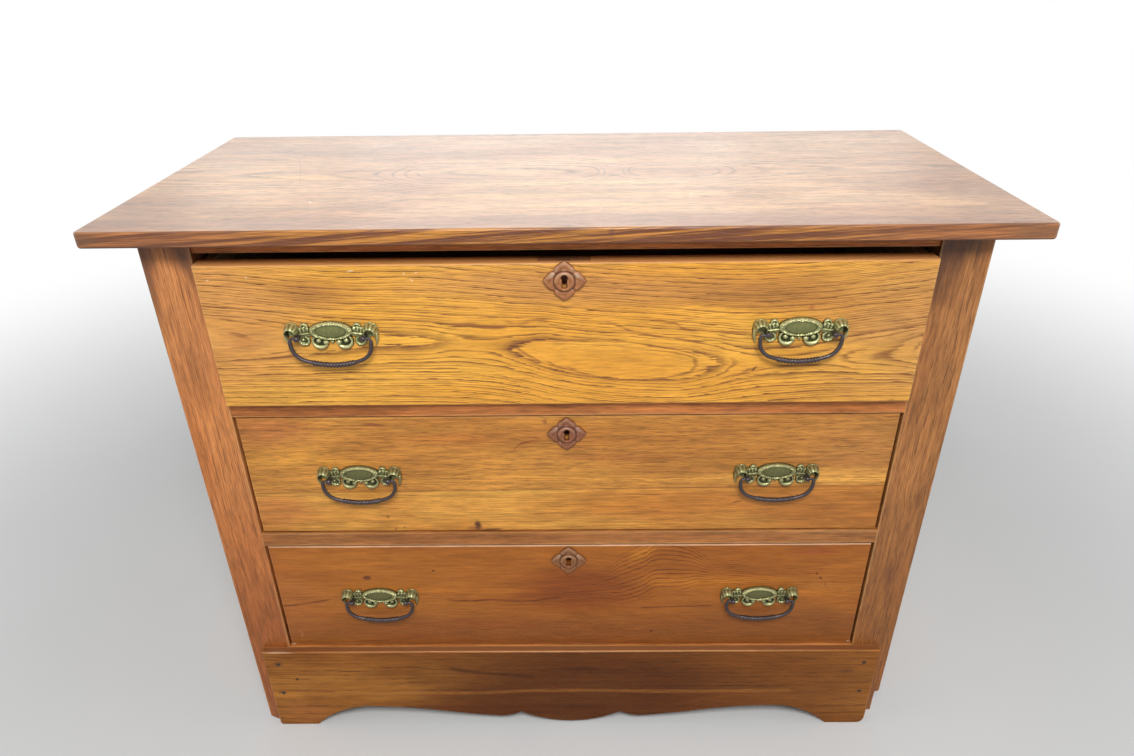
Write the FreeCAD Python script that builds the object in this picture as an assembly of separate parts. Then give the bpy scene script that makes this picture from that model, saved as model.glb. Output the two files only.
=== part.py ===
"""Oak chest of three long drawers, built up from its pieces as its maker would join it.

Frame: millimetres, +X to the right, +Y to the back, +Z up. The origin lies on the floor
under the centre of the top board, so the drawers open towards -Y. Every piece is written
to the folder parts under its own name. Left and right are as seen from the front.
"""
import FreeCAD, Part
import math
import os

Vector = FreeCAD.Vector
ACROSS = Vector(1, 0, 0)
BACKWARDS = Vector(0, 1, 0)
ORIGIN = Vector(0, 0, 0)

# Top board
top_width = 1067.0
top_depth = 475.0
top_thickness = 19.0
top_edge_round = 3.0
top_corner_round = 6.0
top_front_overhang = 30.0
top_side_overhang = 49.5
top_back_overhang = 10.0

# Levels from the floor up: base, then drawer openings with a rail between each two
base_height = 162.4
opening_heights = {"lower": 199.1, "middle": 189.5, "upper": 196.0}
drawer_rail_height = 21.0
top_rail_height = 18.0

# Corner posts, which run down to the floor as feet
stile_width = 59.5
stile_thickness = 32.0
stile_edge_round = 2.5
foot_bevel_width = 12.0
foot_bevel_height = 9.0
broken_corner_width = 16.0
broken_corner_inner_height = 55.0
broken_corner_outer_height = 62.0
broken_corner_depth = 14.0

# Rails across the front, with tenons into the posts
drawer_rail_depth = 60.0
top_rail_recess = 5.0
rail_tenon_length = 20.0
rail_tenon_thickness = 16.0
rail_tenon_setback = 6.0
rail_tenon_shoulder = 4.0

# Framed sides: rails and a thin panel held in grooves
side_rail_thickness = 22.0
side_rail_setback = 3.0
side_top_rail_height = 70.0
side_bottom_rail_height = 92.4
side_tenon_length = 18.0
side_tenon_shoulder = 10.0
panel_thickness = 8.0
panel_tongue = 8.0
panel_clearance = 0.5

# Back: two rails and upright boards let into rebates in the back posts
back_board_thickness = 8.0
back_board_count = 4
back_board_gap = 1.5
back_rebate_width = 10.0
back_top_rail_height = 50.0
back_bottom_rail_height = 62.4
back_rail_thickness = 22.0
back_tenon_thickness = 10.0

# Apron across the base, planted on the posts
apron_thickness = 11.0
apron_inset = 19.0
apron_edge_bevel = 1.5
apron_left_corner_round = 5.0
apron_right_corner_round = 12.0
apron_nail_radius = 1.6
apron_nail_head_radius = 3.2
apron_nail_head_thickness = 1.2
apron_nail_length = 30.0
apron_nail_hole_clearance = 0.1
apron_nail_insets = (21.0, 18.0)
apron_nail_drops = (25.4, 88.4)

# Half of the apron's lower edge, from the centre out: shares of the half length of the
# apron for the distance from the centre, and of its height for the height
apron_drop_shares = (0.0, 0.049)
apron_cusp_shares = (0.168, 0.182)
apron_lobe_side_shares = (0.201, 0.139)
apron_lobe_shares = (0.236, 0.122)
apron_rise_shares = (0.345, 0.158)
apron_slope_shares = (0.45, 0.206)
apron_crown_side_shares = (0.56, 0.248)
apron_crown_shares = (0.655, 0.262)
apron_shoulder_shares = (0.78, 0.2)
apron_foot_shares = (0.872, 0.0)

# Runners, guides, kickers and stops that carry and steer the drawers
runner_height = 21.0
runner_ledge = 27.0
guide_height = 15.0
stop_spacing = 400.0
stop_width = 30.0
stop_depth = 20.0
stop_height = 7.0
stop_gap = 0.3

# Drawers
drawer_side_gap = 2.5
front_bottom_gap = 1.5
front_top_gaps = {"lower": 4.6, "middle": 3.0, "upper": 10.0}
running_gap = 0.3
closed_recess = 3.0
drawer_ajar = {"lower": 0.0, "middle": 0.0, "upper": 14.0}
front_thickness = 22.0
front_edge_round = 1.5
drawer_side_thickness = 12.0
drawer_side_drop = 4.0
drawer_end_gap = 12.0
drawer_back_thickness = 10.0
drawer_back_inset = 20.0
drawer_back_drop = 8.0
drawer_bottom_thickness = 6.0
drawer_bottom_rise = 10.0
groove_depth = 5.0
groove_clearance = 0.3
housing_depth = 4.0

# Half-blind dovetails at the front of each drawer side
tail_count = 4
front_lap = 6.0
tail_tip_share = 0.38
tail_root_share = 0.29
glue_clearance = 0.1

# Drawer lock, let into the inner face of the front, with its bolt
lock_plate_width = 60.0
lock_plate_height = 46.0
lock_plate_thickness = 1.6
lock_selvedge_depth = 15.0
lock_case_width = 44.0
lock_case_height = 42.0
lock_case_depth = 14.0
lock_wall = 1.2
lock_clearance = 0.3
key_cavity_radius = 9.0
bolt_width = 14.0
bolt_thickness = 3.0
bolt_heights = {"lower": 17.0, "middle": 17.0, "upper": 20.5}
bolt_travels = {"lower": 9.0, "middle": 9.0, "upper": 14.5}
bolt_fork_clearance = 0.5
bolt_reach_clearance = 1.0

# Keyhole, measured from its own centre
keyhole_drops = {"lower": 26.5, "middle": 26.5, "upper": 21.0}
keyhole_top_radius = 3.9
keyhole_bottom_radius = 3.6
keyhole_waist = 6.2
keyhole_height = 17.0

# Carved escutcheon, glued on the front
escutcheon_width = 50.5
escutcheon_height = 49.0
escutcheon_notch_share = 0.455
escutcheon_bulge_share = 0.02
escutcheon_base_thickness = 1.6
escutcheon_thickness = 5.5
escutcheon_top_share = 0.74
escutcheon_boss_radius = 11.5
escutcheon_boss_thickness = 7.5
escutcheon_boss_round = 1.6

# Cast drop pulls, two on each drawer
pull_offset = 275.0
pull_rises = {"lower": 0.0, "middle": 0.0, "upper": 5.25}
post_spacing = 78.0
post_shank_radius = 2.3
post_hole_clearance = 0.3
post_head_radius = 3.1
post_head_reach = 14.6
post_head_round = 1.0
post_nut_side = 10.0
post_nut_thickness = 4.0
post_end = 3.0
pivot_reach = 11.0

# Pull plate, with places measured from its centre
plate_thickness = 2.4
oval_half_width = 26.2
oval_half_height = 11.7
oval_rise = 6.7
oval_rim_width = 4.3
oval_rim_thickness = 4.4
oval_panel_thickness = 3.4
hood_spacing = 93.0
hood_rise = 7.5
hood_radius = 9.0
hood_wall = 1.6
hood_centre_reach = 5.6
hood_floor = 3.4
post_pad_radius = 6.6
arm_half_height = 3.6
arm_rise = 3.4
small_scroll_spacing = 62.0
small_scroll_rise = 10.6
small_scroll_radius = 4.6
small_scroll_hole_radius = 1.7
curl_spacing = 67.0
curl_drop = 7.6
curl_radius = 6.2
curl_hole_radius = 2.6
scroll_spacing = 27.6
scroll_drop = 8.6
scroll_radius = 10.4
scroll_band = 4.6
scroll_thickness = 4.8
scroll_bevel = 1.3
ball_spacing = 15.6
ball_drop = 8.2
ball_radius = 3.0
drop_bead_drop = 5.6
drop_bead_radius = 2.6

# Bail of the pull, hanging from its pins
bail_spacing = 95.0
bail_wire_radius = 2.25
bail_pin_radius = 1.8
bail_pin_clearance = 0.25
bail_pin_end = 35.5
bail_corner_radius = 3.0
bail_arm_drop = 8.0
bail_bend_radius = 22.0
bail_drop = 35.7
bail_grip_radius = 3.3
bail_grip_length = 50.0
bail_grip_taper = 3.0

# How far a cutting solid runs past the face that it cuts, and one whole turn in degrees
overrun = 5.0
full_turn = 360.0

# How close two places are to count as one
same_place = 0.001

# Places that several pieces share
half_top = top_width / 2
half_case = half_top - top_side_overhang
inner_x = half_case - stile_width
case_front = top_front_overhang - top_depth / 2
case_back = top_depth / 2 - top_back_overhang
stile_back = case_front + stile_thickness
post_back_front = case_back - stile_thickness
side_outer_x = half_case - side_rail_setback
side_inner_x = side_outer_x - side_rail_thickness
panel_centre_x = (side_outer_x + side_inner_x) / 2
back_board_front = case_back - back_board_thickness
back_rail_front = back_board_front - back_rail_thickness

# Heights of the drawer openings, worked up from the floor
lower_rail_low = base_height + opening_heights["lower"]
middle_floor = lower_rail_low + drawer_rail_height
upper_rail_low = middle_floor + opening_heights["middle"]
upper_floor = upper_rail_low + drawer_rail_height
top_rail_low = upper_floor + opening_heights["upper"]
case_top = top_rail_low + top_rail_height
overall_height = case_top + top_thickness
side_top_rail_low = case_top - side_top_rail_height
side_bottom_rail_low = base_height - side_bottom_rail_height
back_board_low = base_height - back_bottom_rail_height
floors = {"lower": base_height, "middle": middle_floor, "upper": upper_floor}
ceilings = {"lower": lower_rail_low, "middle": upper_rail_low, "upper": top_rail_low}

# Drawer faces from front to back
closed_face = case_front + closed_recess
drawer_half = inner_x - drawer_side_gap
drawer_side_inner_x = drawer_half - drawer_side_thickness
drawer_length = back_rail_front - drawer_end_gap - closed_face
post_half_spacing = post_spacing / 2
bail_half_spacing = bail_spacing / 2

# Rails: foot and height of each front rail with its front face, foot and head of the others
front_rails = {
    "bottom_front_rail": (base_height - drawer_rail_height, drawer_rail_height, case_front),
    "lower_drawer_rail": (lower_rail_low, drawer_rail_height, case_front),
    "upper_drawer_rail": (upper_rail_low, drawer_rail_height, case_front),
    "top_front_rail": (top_rail_low, top_rail_height, case_front + top_rail_recess),
}
side_rails = {
    "side_bottom_rail": (side_bottom_rail_low, base_height),
    "side_top_rail": (side_top_rail_low, case_top),
}
back_rails = {
    "back_bottom_rail": (back_board_low, base_height),
    "back_top_rail": (case_top - back_top_rail_height, case_top),
}

# Apron and its nails
apron_half = half_case - apron_inset
apron_front = case_front - apron_thickness
apron_nail_places = [
    (base_height - drop, inset) for drop, inset in zip(apron_nail_drops, apron_nail_insets)
]


def box(x_low, x_high, y_low, y_high, z_low, z_high):
    """A box between two places on each axis."""
    corner = Vector(x_low, y_low, z_low)
    return Part.makeBox(x_high - x_low, y_high - y_low, z_high - z_low, corner)


def rod(radius, x, z, y_low, y_high):
    """A cylinder that runs from front to back."""
    return Part.makeCylinder(radius, y_high - y_low, Vector(x, y_low, z), BACKWARDS)


def prism(points, direction):
    """A solid swept straight from a closed outline."""
    return Part.Face(Part.makePolygon(points + [points[0]])).extrude(direction)


def arc(first, through, last):
    """An edge bent through three points."""
    return Part.Arc(first, through, last).toShape()


def mirrored(shape):
    """The same shape on the other side of the centre plane."""
    return shape.mirror(ORIGIN, ACROSS)


def joined(shapes):
    """One solid from shapes that meet."""
    return shapes[0].fuse(shapes[1:]).removeSplitter()


def edges_at(shape, x=None, y=None, z=None):
    """The edges of a shape whose ends both lie at the given places."""
    wanted = [(axis, place) for axis, place in (("x", x), ("y", y), ("z", z)) if place is not None]
    return [
        edge
        for edge in shape.Edges
        if all(
            abs(getattr(vertex.Point, axis) - place) < same_place
            for vertex in edge.Vertexes
            for axis, place in wanted
        )
    ]


def write(name, *shapes):
    """Write one piece, or a group of separate like pieces, to its file."""
    shape = shapes[0] if len(shapes) == 1 else Part.makeCompound(list(shapes))
    shape.exportStep("parts/" + name + ".step")


# Top board and corner posts


def top_board():
    """The top, with its corners and edges eased."""
    board = box(-half_top, half_top, -top_depth / 2, top_depth / 2, case_top, overall_height)
    corners = [
        edge
        for x in (-half_top, half_top)
        for y in (-top_depth / 2, top_depth / 2)
        for edge in edges_at(board, x=x, y=y)
    ]
    board = board.makeFillet(top_corner_round, corners)
    rims = edges_at(board, z=case_top) + edges_at(board, z=overall_height)
    return board.makeFillet(top_edge_round, rims)


def rail_tenon(z_low, height, front, clearance=0.0):
    """The right-hand tenon of a front rail, or its mortise with a clearance."""
    return box(
        inner_x - clearance,
        inner_x + rail_tenon_length + clearance,
        front + rail_tenon_setback - clearance,
        front + rail_tenon_setback + rail_tenon_thickness + clearance,
        z_low + rail_tenon_shoulder - clearance,
        z_low + height - rail_tenon_shoulder + clearance,
    )


def side_tongue(y_low, y_high, z_low, z_high, clearance=0.0):
    """A tongue or tenon in the plane of the right-hand side panel, or the slot for one."""
    half = panel_thickness / 2 + clearance
    return box(
        panel_centre_x - half,
        panel_centre_x + half,
        y_low - clearance,
        y_high + clearance,
        z_low - clearance,
        z_high + clearance,
    )


def side_frame_slots(y_low, y_high, y_groove_low, y_groove_high):
    """Mortises for both side rails, and the groove for the panel between them."""
    slots = [
        side_tongue(y_low, y_high, low + side_tenon_shoulder, high - side_tenon_shoulder, glue_clearance)
        for low, high in side_rails.values()
    ]
    groove_low = base_height - panel_tongue
    groove_high = side_top_rail_low + panel_tongue
    return slots + [side_tongue(y_groove_low, y_groove_high, groove_low, groove_high)]


def front_stile():
    """The right-hand front post, before its foot is shaped."""
    post = box(inner_x, half_case, case_front, stile_back, 0, case_top)
    post = post.makeFillet(stile_edge_round, edges_at(post, x=half_case, y=case_front))
    cuts = [rail_tenon(*rail, glue_clearance) for rail in front_rails.values()]
    tenon_front = stile_back - side_tenon_length
    cuts += side_frame_slots(tenon_front, stile_back, stile_back - panel_tongue, stile_back)
    cuts += [apron_nail(height, inset, apron_nail_hole_clearance) for height, inset in apron_nail_places]
    return post.cut(cuts)


def bevelled_foot(post):
    """A left-hand post with the outer corner of its foot cut off at a slant."""
    outline = [
        Vector(-half_case - overrun, case_front - overrun, -overrun),
        Vector(-half_case + foot_bevel_width, case_front - overrun, -overrun),
        Vector(-half_case + foot_bevel_width, case_front - overrun, 0),
        Vector(-half_case, case_front - overrun, foot_bevel_height),
        Vector(-half_case - overrun, case_front - overrun, foot_bevel_height),
    ]
    return post.cut(prism(outline, Vector(0, stile_thickness + 2 * overrun, 0)))


def broken_foot(post):
    """A right-hand post with the outer corner of its foot broken away beside the apron."""
    inner = half_case - broken_corner_width
    front = case_front - overrun
    outline = [
        Vector(inner, front, -overrun),
        Vector(half_case + overrun, front, -overrun),
        Vector(half_case + overrun, front, broken_corner_outer_height),
        Vector(half_case, front, broken_corner_outer_height),
        Vector(inner, front, broken_corner_inner_height),
    ]
    return post.cut(prism(outline, Vector(0, broken_corner_depth + overrun, 0)))


def back_post():
    """The right-hand back post, with a rebate for the back boards."""
    post = box(inner_x, half_case, post_back_front, case_back, 0, case_top)
    rebate = box(
        inner_x - overrun,
        inner_x + back_rebate_width,
        back_board_front,
        case_back + overrun,
        back_board_low,
        case_top + overrun,
    )
    tenon_end = post_back_front + side_tenon_length
    cuts = side_frame_slots(post_back_front, tenon_end, post_back_front, post_back_front + panel_tongue)
    cuts += [back_tenon(low, high, glue_clearance) for low, high in back_rails.values()]
    return post.cut(cuts + [rebate])


# Rails


def front_rail(z_low, height, front):
    """A rail across the front between the posts."""
    rail = box(-inner_x, inner_x, front, front + drawer_rail_depth, z_low, z_low + height)
    tenon = rail_tenon(z_low, height, front)
    return joined([rail, tenon, mirrored(tenon)])


def bolt_front(face):
    """Where the front of the lock bolt lies behind a drawer's face."""
    return face + front_thickness - lock_case_depth + lock_wall + lock_clearance


def bolt_mortise(level):
    """The pocket in the rail above a drawer that its bolt shoots into."""
    low = bolt_front(closed_face) - bolt_reach_clearance
    high = bolt_front(closed_face) + bolt_thickness + bolt_reach_clearance
    half = bolt_width / 2 + bolt_reach_clearance
    depth = bolt_travels[level] - front_top_gaps[level] + bolt_reach_clearance
    return box(-half, half, low, high, ceilings[level] - overrun, ceilings[level] + depth)


def side_rail(z_low, z_high):
    """A rail of the right-hand side frame, before its groove is cut."""
    rail = box(side_inner_x, side_outer_x, stile_back, post_back_front, z_low, z_high)
    tenon = side_tongue(
        stile_back - side_tenon_length,
        post_back_front + side_tenon_length,
        z_low + side_tenon_shoulder,
        z_high - side_tenon_shoulder,
    )
    return joined([rail, tenon])


def side_bottom_rail():
    """The lower rail of the right-hand side, grooved along its top edge."""
    rail = side_rail(*side_rails["side_bottom_rail"])
    groove = side_tongue(stile_back, post_back_front, base_height - panel_tongue, base_height + overrun)
    return rail.cut(groove)


def side_top_rail():
    """The upper rail of the right-hand side, grooved along its lower edge."""
    rail = side_rail(*side_rails["side_top_rail"])
    low = side_top_rail_low
    groove = side_tongue(stile_back, post_back_front, low - overrun, low + panel_tongue)
    return rail.cut(groove)


def side_panel():
    """The thin right-hand side panel, loose in its grooves."""
    reach = panel_tongue - panel_clearance
    half = panel_thickness / 2 - glue_clearance
    return box(
        panel_centre_x - half,
        panel_centre_x + half,
        stile_back - reach,
        post_back_front + reach,
        base_height - reach,
        side_top_rail_low + reach,
    )


def back_tenon(z_low, z_high, clearance=0.0):
    """The right-hand tenon of a back rail, or its mortise with a clearance."""
    centre = (back_rail_front + back_board_front) / 2
    half = back_tenon_thickness / 2 + clearance
    return box(
        inner_x - clearance,
        inner_x + rail_tenon_length + clearance,
        centre - half,
        centre + half,
        z_low + rail_tenon_shoulder - clearance,
        z_high - rail_tenon_shoulder + clearance,
    )


def back_rail(z_low, z_high):
    """A rail between the back posts, in front of the back boards."""
    rail = box(-inner_x, inner_x, back_rail_front, back_board_front, z_low, z_high)
    tenon = back_tenon(z_low, z_high)
    return joined([rail, tenon, mirrored(tenon)])


def back_boards():
    """Upright boards side by side, let into the back posts."""
    left = -inner_x - back_rebate_width
    width = (-2 * left - back_board_gap * (back_board_count + 1)) / back_board_count
    boards = []
    for index in range(back_board_count):
        start = left + back_board_gap + index * (width + back_board_gap)
        boards.append(box(start, start + width, back_board_front, case_back, back_board_low, case_top))
    return boards


# Apron


def apron_point(shares):
    """A point of the apron's outline from its two shares."""
    across, upward = shares
    return Vector(apron_half * across, apron_front, base_height * upward)


def flipped(point):
    """The same point on the left."""
    return Vector(-point.x, point.y, point.z)


def apron_corner(sign, radius):
    """The rounded outer corner of one foot of the apron, as an edge."""
    edge_x = sign * apron_half
    inset = radius * (1 - math.sqrt(2) / 2)
    return arc(
        Vector(edge_x - sign * radius, apron_front, 0),
        Vector(edge_x - sign * inset, apron_front, inset),
        Vector(edge_x, apron_front, radius),
    )


def apron_curves():
    """The scalloped lower edge, from the left foot to the right one."""
    drop = apron_point(apron_drop_shares)
    cusp = apron_point(apron_cusp_shares)
    stretches = [
        (cusp, apron_point(apron_lobe_side_shares), apron_point(apron_lobe_shares)),
        (
            apron_point(apron_lobe_shares),
            apron_point(apron_rise_shares),
            apron_point(apron_slope_shares),
        ),
        (
            apron_point(apron_slope_shares),
            apron_point(apron_crown_side_shares),
            apron_point(apron_crown_shares),
        ),
        (
            apron_point(apron_crown_shares),
            apron_point(apron_shoulder_shares),
            apron_point(apron_foot_shares),
        ),
    ]
    left = [arc(*[flipped(point) for point in stretch]) for stretch in stretches]
    right = [arc(*stretch) for stretch in stretches]
    return left + [arc(flipped(cusp), drop, cusp)] + right


def apron_nail(height, inset, clearance=0.0):
    """A right-hand nail through the apron into the post, or its hole with a clearance."""
    x = apron_half - inset
    head_back = apron_front + apron_nail_head_thickness
    shank = rod(apron_nail_radius + clearance, x, height, head_back, apron_front + apron_nail_length)
    head = rod(apron_nail_head_radius + clearance, x, height, apron_front, head_back + clearance)
    return joined([head, shank])


def front_apron():
    """The shaped board across the base, with a bevel round its face."""
    foot = apron_point(apron_foot_shares)
    left_start = Vector(-apron_half + apron_left_corner_round, apron_front, 0)
    right_start = Vector(apron_half - apron_right_corner_round, apron_front, 0)
    left_low = Vector(-apron_half, apron_front, apron_left_corner_round)
    right_low = Vector(apron_half, apron_front, apron_right_corner_round)
    left_high = Vector(-apron_half, apron_front, base_height)
    right_high = Vector(apron_half, apron_front, base_height)
    straights = [
        (left_start, flipped(foot)),
        (foot, right_start),
        (right_low, right_high),
        (right_high, left_high),
        (left_high, left_low),
    ]
    edges = [Part.makeLine(first, last) for first, last in straights] + apron_curves()
    edges += [
        apron_corner(-1, apron_left_corner_round),
        apron_corner(1, apron_right_corner_round),
    ]
    outline = Part.Wire(Part.__sortEdges__(edges))
    board = Part.Face(outline).extrude(Vector(0, apron_thickness, 0))
    bevels = [
        edge
        for place in ({"z": base_height}, {"x": -apron_half}, {"x": apron_half})
        for edge in edges_at(board, y=apron_front, **place)
    ]
    board = board.makeChamfer(apron_edge_bevel, bevels)
    holes = [apron_nail(*place, apron_nail_hole_clearance) for place in apron_nail_places]
    return board.cut(holes + [mirrored(hole) for hole in holes])


def apron_nails():
    """The nails at both ends of the apron."""
    nails = [apron_nail(*place) for place in apron_nail_places]
    return nails + [mirrored(nail) for nail in nails]


# What carries and steers the drawers


def in_pairs(shapes):
    """Right-hand pieces with their left-hand twins."""
    return shapes + [mirrored(shape) for shape in shapes]


def drawer_runners():
    """The strips that the drawer sides slide on, from each rail to the back posts."""
    front = case_front + drawer_rail_depth
    return in_pairs([
        box(inner_x - runner_ledge, side_inner_x, front, post_back_front, floor - runner_height, floor)
        for floor in floors.values()
    ])


def drawer_guides():
    """The strips on the runners that keep the drawers straight."""
    return in_pairs([
        box(inner_x, side_inner_x, stile_back, post_back_front, floor, floor + guide_height)
        for floor in floors.values()
    ])


def drawer_kickers():
    """The strips above the upper drawer that stop it from tipping as it opens."""
    front = case_front + top_rail_recess + drawer_rail_depth
    return in_pairs([
        box(inner_x - runner_ledge, side_inner_x, front, post_back_front, top_rail_low, case_top)
    ])


def drawer_stops():
    """The blocks on the rails that the closed drawer fronts rest against."""
    front = closed_face + front_thickness + stop_gap
    inner = (stop_spacing - stop_width) / 2
    return in_pairs([
        box(inner, inner + stop_width, front, front + stop_depth, floor, floor + stop_height)
        for floor in floors.values()
    ])


# Drawers


class Drawer:
    """The places that the pieces of one drawer share."""

    def __init__(self, level):
        self.level = level
        self.face = closed_face - drawer_ajar[level]
        self.inner = self.face + front_thickness
        self.end = self.face + drawer_length
        self.front_low = floors[level] + front_bottom_gap
        self.top = ceilings[level] - front_top_gaps[level]
        self.low = floors[level] + running_gap
        self.side_top = self.top - drawer_side_drop
        self.panel_low = self.low + drawer_bottom_rise
        self.panel_high = self.panel_low + drawer_bottom_thickness
        self.back_top = self.side_top - drawer_back_drop
        self.back_rear = self.end - drawer_back_inset
        self.back_front = self.back_rear - drawer_back_thickness
        self.keyhole_z = self.top - keyhole_drops[level]
        self.pull_z = (self.front_low + self.top) / 2 + pull_rises[level]


def tails(drawer, clearance=0.0):
    """The dovetails of the right-hand side, or their sockets with a clearance."""
    pitch = (drawer.side_top - drawer.low) / tail_count
    tip_half = pitch * tail_tip_share + clearance
    root_half = pitch * tail_root_share + clearance
    tip = drawer.face + front_lap - clearance
    shapes = []
    for index in range(tail_count):
        centre = drawer.low + pitch * (2 * index + 1) / 2
        outline = [
            Vector(drawer_side_inner_x - clearance, drawer.inner, centre - root_half),
            Vector(drawer_side_inner_x - clearance, tip, centre - tip_half),
            Vector(drawer_side_inner_x - clearance, tip, centre + tip_half),
            Vector(drawer_side_inner_x - clearance, drawer.inner, centre + root_half),
        ]
        shapes.append(prism(outline, Vector(drawer_side_thickness + clearance, 0, 0)))
    return shapes


def keyhole(z, y_low, y_high):
    """The solid that cuts a keyhole, centred at a height."""
    top_z = z + keyhole_height / 2 - keyhole_top_radius
    bottom_z = z - keyhole_height / 2 + keyhole_bottom_radius
    return joined([
        rod(keyhole_top_radius, 0, top_z, y_low, y_high),
        rod(keyhole_bottom_radius, 0, bottom_z, y_low, y_high),
        box(-keyhole_waist / 2, keyhole_waist / 2, y_low, y_high, bottom_z, top_z),
    ])


def pull_places():
    """The distances from the centre at which a drawer's pulls stand."""
    return (-pull_offset, pull_offset)


def post_places():
    """The distances from the centre at which a drawer's pull posts stand."""
    return [x + sign * post_half_spacing for x in pull_places() for sign in (-1, 1)]


def lock_blank(drawer, clearance=0.0, past=0.0):
    """The outer form of a lock, or the recess for it, run past the faces that it opens."""
    half_plate = lock_plate_width / 2 + clearance
    half_case_width = lock_case_width / 2 + clearance
    thickness = lock_plate_thickness + clearance
    top = drawer.top + past
    back = drawer.inner + past
    plate = box(
        -half_plate,
        half_plate,
        drawer.inner - thickness,
        back,
        drawer.top - lock_plate_height - clearance,
        top,
    )
    selvedge = box(
        -half_plate,
        half_plate,
        drawer.inner - lock_selvedge_depth - clearance,
        back,
        drawer.top - thickness,
        top,
    )
    case = box(
        -half_case_width,
        half_case_width,
        drawer.inner - lock_case_depth - clearance,
        back,
        drawer.top - lock_case_height - clearance,
        top,
    )
    return joined([plate, selvedge, case])


def drawer_front(drawer):
    """The front, with sockets, groove, lock recess, keyhole and holes for the pulls."""
    board = box(-drawer_half, drawer_half, drawer.face, drawer.inner, drawer.front_low, drawer.top)
    rim = [
        edge
        for place in (
            {"x": -drawer_half},
            {"x": drawer_half},
            {"z": drawer.front_low},
            {"z": drawer.top},
        )
        for edge in edges_at(board, y=drawer.face, **place)
    ]
    board = board.makeFillet(front_edge_round, rim)
    groove_half = drawer_side_inner_x + groove_depth
    cuts = in_pairs(tails(drawer, glue_clearance))
    cuts.append(
        box(
            -groove_half,
            groove_half,
            drawer.inner - groove_depth,
            drawer.inner + overrun,
            drawer.panel_low - groove_clearance,
            drawer.panel_high + groove_clearance,
        )
    )
    cuts.append(lock_blank(drawer, lock_clearance, overrun))
    cuts.append(keyhole(drawer.keyhole_z, drawer.face - overrun, drawer.inner))
    radius = post_shank_radius + post_hole_clearance
    for x in post_places():
        cuts.append(rod(radius, x, drawer.pull_z, drawer.face - overrun, drawer.inner + overrun))
    return board.cut(cuts)


def drawer_side(drawer):
    """The right-hand side, with its dovetails, groove and housing."""
    board = box(
        drawer_side_inner_x,
        drawer_half,
        drawer.inner,
        drawer.end,
        drawer.low,
        drawer.side_top,
    )
    side = joined([board] + tails(drawer))
    groove = box(
        drawer_side_inner_x - overrun,
        drawer_side_inner_x + groove_depth,
        drawer.face,
        drawer.end + overrun,
        drawer.panel_low - groove_clearance,
        drawer.panel_high + groove_clearance,
    )
    housing = box(
        drawer_side_inner_x - overrun,
        drawer_side_inner_x + housing_depth,
        drawer.back_front - glue_clearance,
        drawer.back_rear + glue_clearance,
        drawer.panel_high,
        drawer.back_top + glue_clearance,
    )
    return side.cut([groove, housing])


def drawer_back(drawer):
    """The back, housed in the sides above the bottom."""
    half = drawer_side_inner_x + housing_depth - glue_clearance
    low = drawer.panel_high + glue_clearance
    return box(-half, half, drawer.back_front, drawer.back_rear, low, drawer.back_top)


def drawer_bottom(drawer):
    """The bottom, slid into the grooves from the back."""
    reach = groove_depth - groove_clearance
    half = drawer_side_inner_x + reach
    return box(-half, half, drawer.inner - reach, drawer.end, drawer.panel_low, drawer.panel_high)


def drawer_lock(drawer):
    """The lock, open for its bolt and for the key."""
    bolt_y = bolt_front(drawer.face)
    half = bolt_width / 2 + lock_clearance
    channel = box(
        -half,
        half,
        bolt_y - lock_clearance,
        bolt_y + bolt_thickness + lock_clearance,
        drawer.keyhole_z,
        drawer.top + overrun,
    )
    case_front_y = drawer.inner - lock_case_depth
    cavity = rod(
        key_cavity_radius,
        0,
        drawer.keyhole_z,
        case_front_y + lock_wall,
        drawer.inner - lock_plate_thickness - lock_wall,
    )
    mouth = keyhole(drawer.keyhole_z, case_front_y - overrun, drawer.inner - lock_case_depth / 2)
    return lock_blank(drawer).cut([channel, cavity, mouth])


def lock_bolt(drawer):
    """The bolt, down in the lock, level with the drawer's top edge and forked round the keyhole."""
    half = bolt_width / 2
    low = bolt_front(drawer.face)
    high = low + bolt_thickness
    top = drawer.top - lock_clearance
    foot = top - bolt_heights[drawer.level]
    bolt = box(-half, half, low, high, foot, top)
    fork_half = keyhole_top_radius + bolt_fork_clearance
    fork_top = drawer.keyhole_z + keyhole_height / 2 + bolt_fork_clearance
    if fork_top <= foot:
        return bolt
    fork = box(-fork_half, fork_half, low - overrun, high + overrun, foot - overrun, fork_top)
    return bolt.cut(fork)


def lozenge(scale):
    """The escutcheon's outline round its centre, at a share of its size, as a wire."""
    side_tip = Vector(escutcheon_width / 2 * scale, 0, 0)
    end_tip = Vector(0, 0, escutcheon_height / 2 * scale)
    edges = []
    for across, upward in ((1, 1), (-1, 1), (-1, -1), (1, -1)):
        side = side_tip * across
        end = end_tip * upward
        notch = (side + end) * escutcheon_notch_share
        outward = (side + end) * escutcheon_bulge_share
        first = arc(side, (side + notch) / 2 + outward, notch)
        second = arc(notch, (notch + end) / 2 + outward, end)
        edges += [first, second] if across == upward else [second, first]
    return Part.Wire(Part.__sortEdges__(edges))


def escutcheon(drawer):
    """The carved lozenge with a round boss, glued over the keyhole."""
    edge = Part.Face(lozenge(1)).extrude(Vector(0, -escutcheon_base_thickness, 0))
    low = lozenge(1).translated(Vector(0, -escutcheon_base_thickness, 0))
    high = lozenge(escutcheon_top_share).translated(Vector(0, -escutcheon_thickness, 0))
    slope = Part.makeLoft([low, high], True, True)
    boss = rod(escutcheon_boss_radius, 0, 0, -escutcheon_boss_thickness, 0)
    boss = boss.makeChamfer(escutcheon_boss_round, edges_at(boss, y=-escutcheon_boss_thickness))
    carving = joined([edge, slope, boss]).translated(Vector(0, drawer.face, drawer.keyhole_z))
    front = drawer.face - escutcheon_boss_thickness - overrun
    return carving.cut(keyhole(drawer.keyhole_z, front, drawer.face + overrun))


# Pulls, each modelled round the centre of its plate on the drawer's face


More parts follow.
